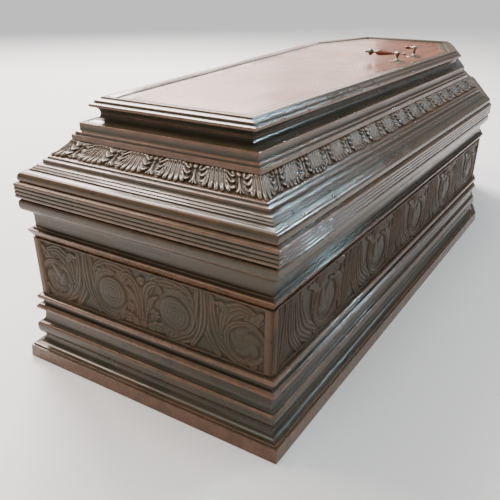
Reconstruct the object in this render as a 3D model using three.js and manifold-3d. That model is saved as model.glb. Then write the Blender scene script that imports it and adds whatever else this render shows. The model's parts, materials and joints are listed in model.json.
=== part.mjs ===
// A carved coffin of dark polished wood: six mitred sides, a stepped lid with a leaf band,
// and two small turning fittings on the lid panel. Millimetres, +Z up, the foot end towards -Y,
// and the origin on the floor under the middle of the coffin.
import * as THREE from 'three';
import { mergeVertices } from 'three/addons/utils/BufferGeometryUtils.js';
import Module from 'manifold-3d';

const wasm = await Module();
wasm.setup();

// Plan line: the outline of the case. Every outset below is measured outwards from it.
const FOOT_WIDTH = 643;
const SHOULDER_WIDTH = 854;
const HEAD_WIDTH = 574;
const CASE_LENGTH = 1980;
const SHOULDER_FROM_FOOT = 1503;

// Timber of the case
const WALL = 30;
const BOTTOM_THICK = 22;
const BOTTOM_REBATE = 18;
const MITRE_GAP = 0.2;
const FIT_GAP = 0.3;
const CURVE_STEPS = 3;

// Base course, each member's outset and height, from the floor up
const BASE = {
  plinthOut: 36.5,
  plinthHigh: 32.5,
  plinthBatter: 2.6,
  filletOut: 29.1,
  filletHigh: 4.8,
  hollowOut: 5,
  hollowHigh: 26.5,
  swellOut: 16.7,
  swellHigh: 21.6,
  shoulderOut: 11,
  shoulderHigh: 13,
  neckOut: -0.5,
  neckHigh: 29,
  listOut: 12.9,
  listCoveHigh: 11,
  listHigh: 6.3,
  beadOut: 7,
  beadHigh: 4.7,
  quirkOut: -1,
  quirkHigh: 7.1,
  capOut: 8.8,
  capSlopeHigh: 9.6,
  capHigh: 6,
  capEase: 4.1,
};

// Carved boards
const CARVED_OUT = -2;
const CARVED_HIGH = 153.9;
const CARVED_RAIL = 4;
const CARVED_STILE = 17;
const CARVED_DEPTH = 10;

// Cornice course under the lid
const CORNICE = {
  footOut: -6,
  lipOut: 4.6,
  lipSlopeHigh: 18.3,
  lipHigh: 3,
  stepOut: -4.6,
  stepHigh: 4.6,
  flatOut: -9.3,
  flatHigh: 21.9,
  sweepOut: 2,
  sweepHigh: 20,
  torusOut: 11.6,
  torusFootHigh: 15.4,
  torusHeadHigh: 11.7,
  grooveOut: 5.3,
  ledgeHigh: 4.4,
  reedOut: 14.5,
  reedGrooveDeep: 3.6,
  reedHigh: 8.8,
  reeds: 4,
  topOut: 4,
  topHigh: 3.3,
};

// Rim of the lid, with its big round moulding
const RIM = {
  inner: -96,
  footOut: 1,
  roundOut: 7,
  roundFootHigh: 5,
  roundHeadOut: -7.5,
  roundHeadHigh: 17,
  firstOut: -15,
  firstLedge: 1.6,
  firstHigh: 3.2,
  secondOut: -19.5,
  secondLedge: 1.4,
  secondHigh: 2.2,
  thirdOut: -26,
  thirdLedge: 2.2,
  thirdHigh: 2.4,
  broadOut: -37,
  broadLedge: 2.6,
  broadHigh: 8,
  lastOut: -45,
  lastLedge: 2,
  lastHigh: 3.6,
  topOut: -54,
  topHigh: 3.2,
};

// Sloping leaf band
const BAND = {
  inner: -124,
  footOut: -58,
  headOut: -92,
  high: 31.3,
  leafPitch: 103,
  leafStand: 9.5,
  leafHeadStand: 5,
  tongueStand: 6,
};

// Upper course of the lid
const UPPER = {
  inner: -168,
  footOut: -86.8,
  footHigh: 11.7,
  listOut: -93,
  listHigh: 6.5,
  slabOut: -101.1,
  slabLedge: 2.1,
  slabHigh: 16.8,
  neckOut: -135.7,
  neckHigh: 15.9,
};

// Frame round the lid panel
const FRAME = {
  inner: -188,
  panelLedge: 17,
  footOut: -136.5,
  coveHigh: 17,
  noseOut: -118.8,
  noseHigh: 6,
  stepOut: -127.5,
  stepHigh: 2.4,
  rollOut: -132,
  rollHigh: 5.6,
  listOut: -138,
  listLedge: 2.3,
  topOut: -140.5,
  topHigh: 4.1,
  topWide: 9,
  innerRollOut: -163,
  innerRollDrop: 4,
  innerStepDrop: 1.5,
  innerCoveDrop: 2.6,
};
const PANEL_THICK = 12;

// Fittings on the lid panel: their upright spindles stand in a row near its right edge
const LEVER_FROM_EDGE = 41.2;
const LONG_LEVER_FROM_SHOULDER = 374;
const SHORT_LEVER_FROM_SHOULDER = 210;
const ROSE_RADIUS = 24.5;
const ROSE_RIM_HIGH = 1.75;
const ROSE_STEP_RADIUS = 18;
const ROSE_STEP_HIGH = 3.75;
const ROSE_HIGH = 5;
const SPINDLE_RADIUS = 3.8;
const SPINDLE_FOOT_RADIUS = 8.5;
const SPINDLE_COLLAR_RADIUS = 7.6;
const SPINDLE_COLLAR_HIGH = 2;
const SPINDLE_TAPER_HIGH = 7;
const BALL_FROM = -0.9;
const BALL_TO = 0.9;
const ARM_RADIUS = 3.4;
const ARM_COLLAR_RADIUS = 4.8;
const ARM_COLLAR_LONG = 3;
const LONG_ARM_LEVEL = 26;
const LONG_HUB_RADIUS = 7.2;
const LONG_ARM_REACH = 17.5;
const COUNTER_REACH = 18.9;
const COUNTER_BALL = 4.4;
const COUNTER_NECK_RADIUS = 2;
const LONG_GRIP_LENGTH = 56;
const CAP_NECK_RADIUS = 3.2;
const CAP_NECK_LONG = 6.5;
const CAP_RADIUS = 12;
const CAP_SLOPE_LONG = 11;
const CAP_BALL = 4.4;
const SHORT_ARM_LEVEL = 29.7;
const SHORT_HUB_RADIUS = 7.7;
const SHORT_ARM_REACH = 16;
const SHORT_GRIP_LENGTH = 20.5;
const ROUND_SIDES = 9;
const SMALL_SIDES = 7;

// Outlines of the turned grips: a share of the length, and the radius there
const longGripRadii = [
  [0, 4.8],
  [0.3, 6.8],
  [0.68, 9.7],
  [0.9, 8],
  [1, 4.4],
];
const shortGripRadii = [
  [0, 3.4],
  [0.4, 5.4],
  [0.75, 3.8],
];

// Finishes
const wood = new THREE.MeshStandardMaterial({ color: 0x3a2119, roughness: 0.32, metalness: 0 });
const carvedWood = new THREE.MeshStandardMaterial({ color: 0x35211a, roughness: 0.42, metalness: 0 });
const panelWood = new THREE.MeshStandardMaterial({ color: 0x5a2416, roughness: 0.2, metalness: 0 });
const plainWood = new THREE.MeshStandardMaterial({ color: 0x5b4432, roughness: 0.7, metalness: 0 });
const bronze = new THREE.MeshStandardMaterial({ color: 0x4c443a, roughness: 0.38, metalness: 1 });
const gripWood = new THREE.MeshStandardMaterial({ color: 0x45190f, roughness: 0.28, metalness: 0 });

// The six sides, each with its length, its place and the mitre at both ends
const planCorners = [
  new THREE.Vector2(-FOOT_WIDTH / 2, -CASE_LENGTH / 2),
  new THREE.Vector2(FOOT_WIDTH / 2, -CASE_LENGTH / 2),
  new THREE.Vector2(SHOULDER_WIDTH / 2, SHOULDER_FROM_FOOT - CASE_LENGTH / 2),
  new THREE.Vector2(HEAD_WIDTH / 2, CASE_LENGTH / 2),
  new THREE.Vector2(-HEAD_WIDTH / 2, CASE_LENGTH / 2),
  new THREE.Vector2(-SHOULDER_WIDTH / 2, SHOULDER_FROM_FOOT - CASE_LENGTH / 2),
];
const sideNames = ['foot', 'right_side', 'right_shoulder', 'head', 'left_shoulder', 'left_side'];

function heading(index) {
  const from = planCorners[index % planCorners.length];
  const to = planCorners[(index + 1) % planCorners.length];
  return Math.atan2(to.y - from.y, to.x - from.x);
}

// How far a mitred end moves along its side for each millimetre of outset
function mitreAt(index) {
  const before = heading(index + planCorners.length - 1);
  const turn = THREE.MathUtils.euclideanModulo(heading(index) - before, 2 * Math.PI);
  return Math.tan(turn / 2);
}

const sides = sideNames.map((name, index) => {
  const from = planCorners[index];
  const to = planCorners[(index + 1) % planCorners.length];
  return {
    name,
    length: from.distanceTo(to),
    middle: from.clone().add(to).divideScalar(2),
    heading: heading(index),
    startMitre: mitreAt(index),
    endMitre: mitreAt(index + 1),
    mirrored: name.startsWith('left'),
  };
});

// Place along a side at a share of its length, 0 at its start and 1 at its end
function alongSide(side, outset, share) {
  const start = -side.length / 2 - outset * side.startMitre + MITRE_GAP;
  const end = side.length / 2 + outset * side.endMitre - MITRE_GAP;
  return start + (end - start) * share;
}

// Corner of the plan moved outwards by an outset
function outsetCorner(index, outset) {
  const side = sides[index];
  const along = -side.length / 2 - outset * side.startMitre;
  const place = new THREE.Vector2(along, -outset);
  place.rotateAround(new THREE.Vector2(), side.heading);
  return place.add(side.middle);
}

// Draws the outer face of a course from the bottom up
class Face {
  constructor(inner, outset, level) {
    this.inner = inner;
    this.outset = outset;
    this.level = level;
    this.shape = new THREE.Shape();
    this.shape.moveTo(inner, level);
    this.shape.lineTo(outset, level);
  }

  to(outset, rise) {
    this.outset = outset;
    this.level += rise;
    this.shape.lineTo(outset, this.level);
    return this;
  }

  curve(outset, rise, throughOutset, throughLevel) {
    this.outset = outset;
    this.level += rise;
    this.shape.quadraticCurveTo(throughOutset, throughLevel, outset, this.level);
    return this;
  }

  // A convex quarter
  bulge(outset, rise) {
    const outer = Math.max(this.outset, outset);
    const level = outset < this.outset ? this.level + rise : this.level;
    return this.curve(outset, rise, outer, level);
  }

  // A concave quarter
  cove(outset, rise) {
    const innermost = Math.min(this.outset, outset);
    const level = outset < this.outset ? this.level : this.level + rise;
    return this.curve(outset, rise, innermost, level);
  }

  close() {
    this.shape.lineTo(this.inner, this.level);
    return this;
  }
}

function baseFace() {
  const b = BASE;
  const face = new Face(-WALL + BOTTOM_REBATE, b.plinthOut, 0);
  face.to(b.plinthOut - b.plinthBatter, b.plinthHigh).to(b.filletOut, 0).to(b.filletOut, b.filletHigh);
  face.cove(b.hollowOut, b.hollowHigh).bulge(b.swellOut, b.swellHigh);
  face.bulge(b.shoulderOut, b.shoulderHigh).cove(b.neckOut, b.neckHigh);
  face.cove(b.listOut, b.listCoveHigh).to(b.listOut, b.listHigh);
  face.to(b.beadOut, b.beadHigh).to(b.quirkOut, b.quirkHigh);
  face.to(b.capOut, b.capSlopeHigh).to(b.capOut, b.capHigh).to(CARVED_OUT, b.capEase);
  face.shape.lineTo(-WALL, face.level);
  face.shape.lineTo(-WALL, BOTTOM_THICK);
  face.shape.lineTo(-WALL + BOTTOM_REBATE, BOTTOM_THICK);
  return face;
}

function carvedFace(level) {
  return new Face(-WALL, CARVED_OUT, level).to(CARVED_OUT, CARVED_HIGH).close();
}

function corniceFace(level) {
  const c = CORNICE;
  const face = new Face(-WALL, c.footOut, level);
  face.to(c.lipOut, c.lipSlopeHigh).to(c.lipOut, c.lipHigh);
  face.to(c.stepOut, 0).to(c.stepOut, c.stepHigh).to(c.flatOut, 0).to(c.flatOut, c.flatHigh);
  face.cove(c.sweepOut, c.sweepHigh).bulge(c.torusOut, c.torusFootHigh).bulge(c.grooveOut, c.torusHeadHigh);
  face.to(c.reedOut - c.reedGrooveDeep, c.ledgeHigh);
  for (let reed = 0; reed < c.reeds; reed += 1) {
    face.to(c.reedOut, c.reedHigh / 4).to(c.reedOut, c.reedHigh / 2);
    face.to(c.reedOut - c.reedGrooveDeep, c.reedHigh / 4);
  }
  return face.to(c.topOut, c.topHigh).close();
}

function rimFace(level) {
  const r = RIM;
  const face = new Face(r.inner, r.footOut, level);
  face.bulge(r.roundOut, r.roundFootHigh).bulge(r.roundHeadOut, r.roundHeadHigh);
  face.to(r.firstOut, r.firstLedge).to(r.firstOut, r.firstHigh);
  face.to(r.secondOut, r.secondLedge).to(r.secondOut, r.secondHigh);
  face.to(r.thirdOut, r.thirdLedge).to(r.thirdOut, r.thirdHigh);
  face.to(r.broadOut, r.broadLedge).to(r.broadOut, r.broadHigh);
  face.to(r.lastOut, r.lastLedge).to(r.lastOut, r.lastHigh);
  return face.to(r.topOut, r.topHigh).close();
}

function upperFace(level) {
  const u = UPPER;
  const face = new Face(u.inner, u.footOut, level);
  face.to(u.footOut, u.footHigh).to(u.listOut, 0).to(u.listOut, u.listHigh);
  face.to(u.slabOut, u.slabLedge).to(u.slabOut, u.slabHigh);
  return face.cove(u.neckOut, u.neckHigh).close();
}

function frameFace(level) {
  const f = FRAME;
  const face = new Face(f.inner - f.panelLedge, f.footOut, level);
  face.cove(f.noseOut, f.coveHigh).to(f.noseOut, f.noseHigh).to(f.stepOut, f.stepHigh);
  face.bulge(f.rollOut, f.rollHigh).to(f.listOut, f.listLedge).to(f.topOut, f.topHigh);
  const top = face.level;
  face.to(f.topOut - f.topWide, 0).to(f.innerRollOut, -f.innerRollDrop).to(f.innerRollOut, -f.innerStepDrop);
  face.to(f.inner, -f.innerCoveDrop);
  face.panelTop = face.level;
  face.shape.lineTo(f.inner, face.level - PANEL_THICK);
  face.shape.lineTo(f.inner - f.panelLedge, face.level - PANEL_THICK);
  face.level = top;
  return face;
}

// One length of a course along a side, with its ends mitred
function mitredLength(shape, side) {
  const geometry = new THREE.ExtrudeGeometry(shape, {
    depth: 1,
    bevelEnabled: false,
    curveSegments: CURVE_STEPS,
  });
  const place = geometry.attributes.position;
  for (let i = 0; i < place.count; i += 1) {
    const outset = place.getX(i);
    place.setXYZ(i, alongSide(side, outset, 1 - place.getZ(i)), -outset, place.getY(i));
  }
  geometry.computeVertexNormals();
  return geometry;
}

function sideMesh(name, geometry, material, side) {
  const mesh = new THREE.Mesh(geometry, material);
  mesh.name = name;
  mesh.position.set(side.middle.x, side.middle.y, 0);
  mesh.rotation.z = side.heading;
  return mesh;
}

// A level board that fills the plan at an outset
function planBoard(name, outset, level, thick, material) {
  const corners = sides.map((side, index) => outsetCorner(index, outset));
  const geometry = new THREE.ExtrudeGeometry(new THREE.Shape(corners), { depth: thick, bevelEnabled: false });
  geometry.translate(0, 0, level);
  const mesh = new THREE.Mesh(geometry, material);
  mesh.name = name;
  return mesh;
}

function toSolid(geometry) {
  const bare = geometry.clone();
  bare.deleteAttribute('normal');
  bare.deleteAttribute('uv');
  const merged = mergeVertices(bare);
  return new wasm.Manifold(new wasm.Mesh({
    numProp: 3,
    vertProperties: new Float32Array(merged.attributes.position.array),
    triVerts: new Uint32Array(merged.index.array),
  }));
}

function fromSolid(solid) {
  const mesh = solid.getMesh();
  const indexed = new THREE.BufferGeometry();
  indexed.setAttribute('position', new THREE.BufferAttribute(mesh.vertProperties, mesh.numProp));
  indexed.setIndex(new THREE.BufferAttribute(mesh.triVerts, 1));
  const geometry = indexed.toNonIndexed();
  geometry.computeVertexNormals();
  return geometry;
}

// Carving. Shapes are drawn in shares of the carved field's height, from its foot.
const FIELD_HIGH = CARVED_HIGH - 2 * CARVED_RAIL;
const FIELD_ROOT = 1.5;
const UNIT_PITCH = 2;
const SCROLL_STEPS = 7;
const STEM_STEPS = 2;
const LEAF_STEPS = 2;
const PETALS = 5;
const PETAL_NOTCH = 0.62;
const BOSS_SIDES = 8;
const SCROLL = { outer: 0.42, inner: 0.27, thick: 0.08, bud: 0.19, turn: 1.8 * Math.PI };
const BOSS_RADIUS = 0.245;
const STEM_THICK = 0.08;
const LEAF_THICK = 0.1;
const LEAF_STAND = 0.9;
const taperBoth = (share) => Math.sin(Math.PI * (0.09 + 0.82 * share));
const taperTail = (share) => 1 - 0.62 * share;

// A ridge with a triangular section that follows a curve drawn in the field
function ridge(curve, thick, stand, steps, taper) {
  const section = new THREE.Shape([
    new THREE.Vector2(-1, 0),
    new THREE.Vector2(1, 0),
    new THREE.Vector2(0, 1),
  ]);
  const geometry = new THREE.ExtrudeGeometry(section, { depth: 1, steps, bevelEnabled: false });
  const place = geometry.attributes.position;
  for (let i = 0; i < place.count; i += 1) {
    const share = place.getZ(i);
    const centre = curve.getPoint(share);
    const tangent = curve.getTangent(share);
    const across = place.getX(i) * thick * FIELD_HIGH * taper(share);
    const out = place.getY(i) * (stand * taper(share) + FIELD_ROOT);
    place.setXYZ(i, centre.x - tangent.y * across, -out, centre.y + tangent.x * across);
  }
  return toSolid(geometry);
}

class Spiral extends THREE.Curve {
  constructor(centre, startRadius, endRadius, startAngle, turn) {
    super();
    Object.assign(this, { centre, startRadius, endRadius, startAngle, turn });
  }

  getPoint(share, target = new THREE.Vector2()) {
    const angle = this.startAngle + this.turn * share;
    const radius = this.startRadius + (this.endRadius - this.startRadius) * share;
    return target.set(this.centre.x + radius * Math.cos(angle), this.centre.y + radius * Math.sin(angle));
  }
}

function bow(points) {
  const [a, b, c] = points.map(([x, y]) => new THREE.Vector2(x, y).multiplyScalar(FIELD_HIGH));
  return new THREE.QuadraticBezierCurve(a, b, c);
}

function stem(points) {
  return ridge(bow(points), STEM_THICK, CARVED_DEPTH * LEAF_STAND, STEM_STEPS, taperBoth);
}

function leaf(points) {
  return ridge(bow(points), LEAF_THICK, CARVED_DEPTH * LEAF_STAND, LEAF_STEPS, taperBoth);
}

// Stands a shape that was made upright out of the board, at a place in the field
function standOut(geometry, x, y) {
  geometry.rotateX(Math.PI);
  geometry.translate(x * FIELD_HIGH, 0, y * FIELD_HIGH);
  return toSolid(geometry);
}

// A flower: a low cone whose rim runs in and out as petals
function flower(x, y, radius, stand) {
  const high = stand + FIELD_ROOT;
  const geometry = new THREE.ConeGeometry(radius * FIELD_HIGH, high, PETALS * 2, 1);
  const place = geometry.attributes.position;
  for (let i = 0; i < place.count; i += 1) {
    const angle = Math.atan2(place.getZ(i), place.getX(i));
    const notch = Math.round(angle * PETALS / Math.PI) % 2 === 0 ? 1 : PETAL_NOTCH;
    place.setX(i, place.getX(i) * notch);
    place.setZ(i, place.getZ(i) * notch);
  }
  geometry.translate(0, high / 2, 0);
  return standOut(geometry, x, y);
}

// A smooth round boss
function boss(x, y) {
  const radius = BOSS_RADIUS * FIELD_HIGH;
  const high = CARVED_DEPTH + FIELD_ROOT;
  const profile = [[0, 0], [radius, 0], [radius * 0.82, high * 0.75], [0, high]];
  const points = profile.map(([out, up]) => new THREE.Vector2(out, up));
  return standOut(new THREE.LatheGeometry(points, BOSS_SIDES), x, y);
}

// A scroll that winds round a flower
function scroll(x, y, facing) {
  const centre = new THREE.Vector2(x, y).multiplyScalar(FIELD_HIGH);
  const startAngle = Math.PI * (facing > 0 ? 0.75 : 0.25);
  const [outer, inner] = [SCROLL.outer * FIELD_HIGH, SCROLL.inner * FIELD_HIGH];
  const wind = new Spiral(centre, outer, inner, startAngle, facing * SCROLL.turn);
  return [
    ridge(wind, SCROLL.thick, CARVED_DEPTH, SCROLL_STEPS, taperTail),
    flower(x, y, SCROLL.bud, CARVED_DEPTH * 0.8),
  ];
}

// A sheaf of stems that leaves the top of the field and bends away to one side
function halfSheaf(x, facing, stems) {
  const shapes = [];
  for (let rank = 0; rank < stems; rank += 1) {
    shapes.push(stem([
      [x + facing * 0.06, 0.96 - 0.1 * rank],
      [x + facing * (0.06 + 0.14 * rank), 0.3],
      [x + facing * (0.42 + 0.1 * rank), 0.08 + 0.1 * rank],
    ]));
  }
  return shapes;
}

// A low leaf that rises and falls from one point of the field to the next
function lowLeaf(x, y, facing) {
  return leaf([[x - facing * 0.3, y], [x + facing * 0.02, y + 0.2], [x + facing * 0.28, y + 0.02]]);
}

// One repeat of the running ornament: a leaf, a sheaf, then a scroll
function runningUnit(x, pitch, facing) {
  const scrollX = x + facing * pitch * 0.2;
  const sheafX = x - facing * pitch * 0.32;
  return [
    ...scroll(scrollX, 0.47, facing),
    ...halfSheaf(sheafX, facing, 2),
    lowLeaf(sheafX - facing * 0.12, 0.2, -facing),
  ];
}

// Where the end ornament stands along its field, in field heights
const END_SCROLL_FROM_EDGE = 0.31;
const END_SHEAF_FROM_SCROLL = 0.8;

// The mirrored ornament of the two short ends: scrolls outside, bosses and a calyx in the middle
function endOrnament(halfField) {
  const scrollX = halfField - END_SCROLL_FROM_EDGE;
  const sheafX = scrollX - END_SHEAF_FROM_SCROLL;
  return [-1, 1].flatMap((facing) => [
    ...scroll(facing * scrollX, 0.42, facing),
    ...halfSheaf(facing * sheafX, facing, 2),
    ...halfSheaf(facing * sheafX, -facing, 1),
    boss(facing * 0.55, 0.5),
    stem([[facing * 0.015, 0.4], [facing * 0.03, 0.9], [facing * 0.3, 0.84]]),
    flower(facing * 0.2, 0.36, 0.1, CARVED_DEPTH * 0.7),
    lowLeaf(facing * 0.36, 0.06, facing),
  ]);
}

function ornament(side) {
  const halfField = (side.length / 2 - CARVED_STILE) / FIELD_HIGH;
  if (side.name === 'foot' || side.name === 'head') {
    return endOrnament(halfField);
  }
  const facing = side.mirrored ? -1 : 1;
  const count = Math.max(1, Math.round(2 * halfField / UNIT_PITCH));
  const pitch = 2 * halfField / count;
  return Array.from({ length: count }, (unused, unit) => (
    runningUnit(-halfField + (unit + 0.5) * pitch, pitch, facing)
  )).flat();
}

// A board with a sunk field between plain margins, and its carving standing in the field
function carvedBoard(side, level) {
  const fieldLong = side.length - 2 * CARVED_STILE;
  const boxOf = (deep) => {
    const box = new THREE.BoxGeometry(fieldLong, 2 * deep, FIELD_HIGH);
    return toSolid(box.translate(0, -CARVED_OUT, level + CARVED_HIGH / 2));
  };
  const board = toSolid(mitredLength(carvedFace(level).shape, side)).subtract(boxOf(CARVED_DEPTH));
  const carving = wasm.Manifold.union(ornament(side));
  const placed = carving.translate([0, CARVED_DEPTH + FIELD_ROOT - CARVED_OUT, level + CARVED_RAIL]);
  return fromSolid(board.add(placed.intersect(boxOf(2 * CARVED_DEPTH))));
}

// Leaf band. Across one leaf: the share of the pitch, and how far it stands out.
const leafColumns = [
  [0, 1],
  [0.11, 0.55],
  [0.23, 0.9],
  [0.42, 0],
];
const TONGUE_SHARE = 0.5;

// The face of the band: places along one side, and how far each stands out at the foot and the head
function bandColumns(side) {
  const middleOutset = (BAND.footOut + BAND.headOut) / 2;
  const long = alongSide(side, middleOutset, 1) - alongSide(side, middleOutset, 0);
  const leaves = Math.max(1, Math.round(long / BAND.leafPitch));
  const columns = [];
  for (let leaf = 0; leaf < leaves; leaf += 1) {
    const rising = leafColumns.map(([share, stand]) => [share, stand * BAND.leafStand]);
    const falling = rising.slice(1).reverse().map(([share, stand]) => [1 - share, stand]);
    for (const [share, stand] of [...rising, [TONGUE_SHARE, BAND.tongueStand], ...falling]) {
      columns.push([(leaf + share) / leaves, stand]);
    }
  }
  columns.push([1, BAND.leafStand]);
  return columns;
}

// A closed band whose outer face is a grid of folded leaves
function leafBand(side, level) {
  const columns = bandColumns(side);
  const rows = [
    { rise: 0, stand: 1 },
    { rise: 0.42, stand: 1.05 },
    { rise: 1, stand: BAND.leafHeadStand / BAND.leafStand },
  ];
  const points = [];
  const triangles = [];
  const addPoint = (share, outset, rise) => {
    points.push(alongSide(side, outset, share), -outset, level + rise * BAND.high);
    return points.length / 3 - 1;
  };
  const grid = rows.map(({ rise, stand }) => columns.map(([share, out]) => {
    const ground = THREE.MathUtils.lerp(BAND.footOut, BAND.headOut, rise);
    return addPoint(share, ground + out * stand, rise);
  }));
  const back = [0, 1].map((rise) => [0, 1].map((share) => addPoint(share, BAND.inner, rise)));
  for (let row = 0; row + 1 < rows.length; row += 1) {
    for (let column = 0; column + 1 < columns.length; column += 1) {
      const [a, b] = [grid[row][column], grid[row][column + 1]];
      const [c, d] = [grid[row + 1][column], grid[row + 1][column + 1]];
      triangles.push(a, b, d, a, d, c);
    }
  }
  const [footEdge, headEdge] = [grid[0], grid[rows.length - 1]];
  fillLevel(points, triangles, [back[0][0], back[0][1], ...footEdge.slice().reverse()], false);
  fillLevel(points, triangles, [back[1][1], back[1][0], ...headEdge], true);
  const startEnd = grid.map((row) => row[0]);
  const finishEnd = grid.map((row) => row[row.length - 1]);
  fan(triangles, [back[0][0], ...startEnd, back[1][0]]);
  fan(triangles, [back[1][1], ...finishEnd.slice().reverse(), back[0][1]]);
  fan(triangles, [back[0][1], back[0][0], back[1][0], back[1][1]]);
  const geometry = new THREE.BufferGeometry();
  geometry.setAttribute('position', new THREE.Float32BufferAttribute(points, 3));
  geometry.setIndex(triangles);
  const flat = geometry.toNonIndexed();
  flat.computeVertexNormals();
  return flat;
}

function fan(triangles, loop) {
  for (let i = 1; i + 1 < loop.length; i += 1) {
    triangles.push(loop[0], loop[i], loop[i + 1]);
  }
}

// Fills a level loop of points with triangles that face up or down
function fillLevel(points, triangles, loop, up) {
  const outline = loop.map((index) => new THREE.Vector2(points[3 * index], points[3 * index + 1]));
  for (const corners of THREE.ShapeUtils.triangulateShape(outline, [])) {
    const facesUp = !THREE.ShapeUtils.isClockWise(corners.map((corner) => outline[corner]));
    const ordered = facesUp === up ? corners : corners.slice().reverse();
    triangles.push(...ordered.map((corner) => loop[corner]));
  }
}

// A turned piece: pairs of radius and height along its axis
function turned(pairs, roundSides) {
  return new THREE.LatheGeometry(pairs.map(([radius, high]) => new THREE.Vector2(radius, high)), roundSides);
}

// A ball's outline between its two necks, for use inside a turned outline
function ballOutline(centre, radius, steps) {
  const pairs = [];
  for (let step = 0; step <= steps; step += 1) {
    const angle = THREE.MathUtils.lerp(BALL_FROM, BALL_TO, step / steps);
    pairs.push([radius * Math.cos(angle), centre + radius * Math.sin(angle)]);
  }
  return pairs;
}

function rose() {
  const pairs = [
    [0, 0],
    [ROSE_RADIUS, 0],
    [ROSE_RADIUS, ROSE_RIM_HIGH],
    [ROSE_STEP_RADIUS, ROSE_STEP_HIGH],
    [SPINDLE_FOOT_RADIUS, ROSE_HIGH],
    [0, ROSE_HIGH],
  ];
  return turned(pairs, ROUND_SIDES).rotateX(Math.PI / 2);
}

// Upright spindle with a ball hub at the arm's level, its foot just clear of the rose
function spindle(hubRadius, armLevel) {
  const foot = ROSE_HIGH + FIT_GAP;
  const pairs = [
    [0, foot],
    [SPINDLE_FOOT_RADIUS, foot],
    [SPINDLE_COLLAR_RADIUS, foot + SPINDLE_COLLAR_HIGH],
    [SPINDLE_RADIUS, foot + SPINDLE_TAPER_HIGH],
    ...ballOutline(armLevel, hubRadius, 3),
    [0, armLevel + hubRadius],
  ];
  return turned(pairs, SMALL_SIDES).rotateX(Math.PI / 2);
}

// Turned along -X from the spindle's axis, at the level of the arm
function alongArm(geometry, armLevel) {
  return geometry.rotateZ(Math.PI / 2).translate(0, 0, armLevel);
}

// The end of an arm: a rod with a collar against the grip
function armEnd(reach) {
  return [
    [ARM_RADIUS, 0],
    [ARM_RADIUS, reach - ARM_COLLAR_LONG],
    [ARM_COLLAR_RADIUS, reach - ARM_COLLAR_LONG],
    [ARM_COLLAR_RADIUS, reach],
    [0, reach],
  ];
}

function longArm() {
  const pairs = [
    [0, -COUNTER_REACH - 2 * COUNTER_BALL],
    ...ballOutline(-COUNTER_REACH - COUNTER_BALL, COUNTER_BALL, 2),
    [COUNTER_NECK_RADIUS, -COUNTER_REACH],
    ...armEnd(LONG_ARM_REACH),
  ];
  return alongArm(turned(pairs, SMALL_SIDES), LONG_ARM_LEVEL);
}

function shortArm() {
  return alongArm(turned([[0, 0], ...armEnd(SHORT_ARM_REACH)], SMALL_SIDES), SHORT_ARM_LEVEL);
}

// A grip from a distance along the arm, closed at both ends
function grip(radii, from, length) {
  const outline = radii.map(([share, radius]) => [radius, from + length * share]);
  return [[0, from], ...outline, [0, from + length]];
}

function longGrip() {
  const pairs = grip(longGripRadii, LONG_ARM_REACH + FIT_GAP, LONG_GRIP_LENGTH);
  return alongArm(turned(pairs, ROUND_SIDES), LONG_ARM_LEVEL);
}

function longCap() {
  const from = LONG_ARM_REACH + LONG_GRIP_LENGTH + 2 * FIT_GAP;
  const widest = from + CAP_NECK_LONG + CAP_SLOPE_LONG;
  const ballFrom = widest + CAP_SLOPE_LONG;
  const pairs = [
    [0, from],
    [CAP_NECK_RADIUS, from],
    [CAP_NECK_RADIUS, from + CAP_NECK_LONG],
    [CAP_RADIUS, widest],
    [CAP_NECK_RADIUS, ballFrom],
    ...ballOutline(ballFrom + CAP_BALL, CAP_BALL, 2),
    [0, ballFrom + 2 * CAP_BALL],
  ];
  return alongArm(turned(pairs, ROUND_SIDES), LONG_ARM_LEVEL);
}

function shortGrip() {
  const pairs = grip(shortGripRadii, SHORT_ARM_REACH + FIT_GAP, SHORT_GRIP_LENGTH);
  return alongArm(turned(pairs, SMALL_SIDES), SHORT_ARM_LEVEL);
}

// Place of a spindle: so far towards the foot from the shoulder, and so far in from the panel's edge
function spindlePlace(fromShoulder) {
  const rightSide = sides[sideNames.indexOf('right_side')];
  const y = SHOULDER_FROM_FOOT - CASE_LENGTH / 2 - fromShoulder;
  const slope = Math.tan(rightSide.heading);
  const planX = rightSide.middle.x + (y - rightSide.middle.y) / slope;
  const inFromPlan = (LEVER_FROM_EDGE - FRAME.inner) / Math.sin(rightSide.heading);
  return new THREE.Vector2(planX - inFromPlan, y);
}

function named(name, geometry, material) {
  const mesh = new THREE.Mesh(geometry, material);
  mesh.name = name;
  return mesh;
}

function longLever(level) {
  const group = new THREE.Group();
  const metal = fromSolid(toSolid(spindle(LONG_HUB_RADIUS, LONG_ARM_LEVEL)).add(toSolid(longArm())));
  group.add(named('long_lever_rose', rose(), bronze));
  group.add(named('long_lever_spindle_and_arm', metal, bronze));
  group.add(named('long_lever_grip', longGrip(), gripWood));
  group.add(named('long_lever_end_cap', longCap(), bronze));
  const place = spindlePlace(LONG_LEVER_FROM_SHOULDER);
  group.position.set(place.x, place.y, level);
  return group;
}

function shortLever(level) {
  const group = new THREE.Group();
  const metal = fromSolid(toSolid(spindle(SHORT_HUB_RADIUS, SHORT_ARM_LEVEL)).add(toSolid(shortArm())));
  group.add(named('short_lever_rose', rose(), bronze));
  group.add(named('short_lever_spindle_and_arm', metal, bronze));
  group.add(named('short_lever_grip', shortGrip(), gripWood));
  const place = spindlePlace(SHORT_LEVER_FROM_SHOULDER);
  group.position.set(place.x, place.y, level);
  return group;
}

const coffin = new THREE.Group();
const base = baseFace();
const cornice = corniceFace(base.level + CARVED_HIGH);
const rim = rimFace(cornice.level);
const bandTop = rim.level + BAND.high;
const upper = upperFace(bandTop);
const frame = frameFace(upper.level);

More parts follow.
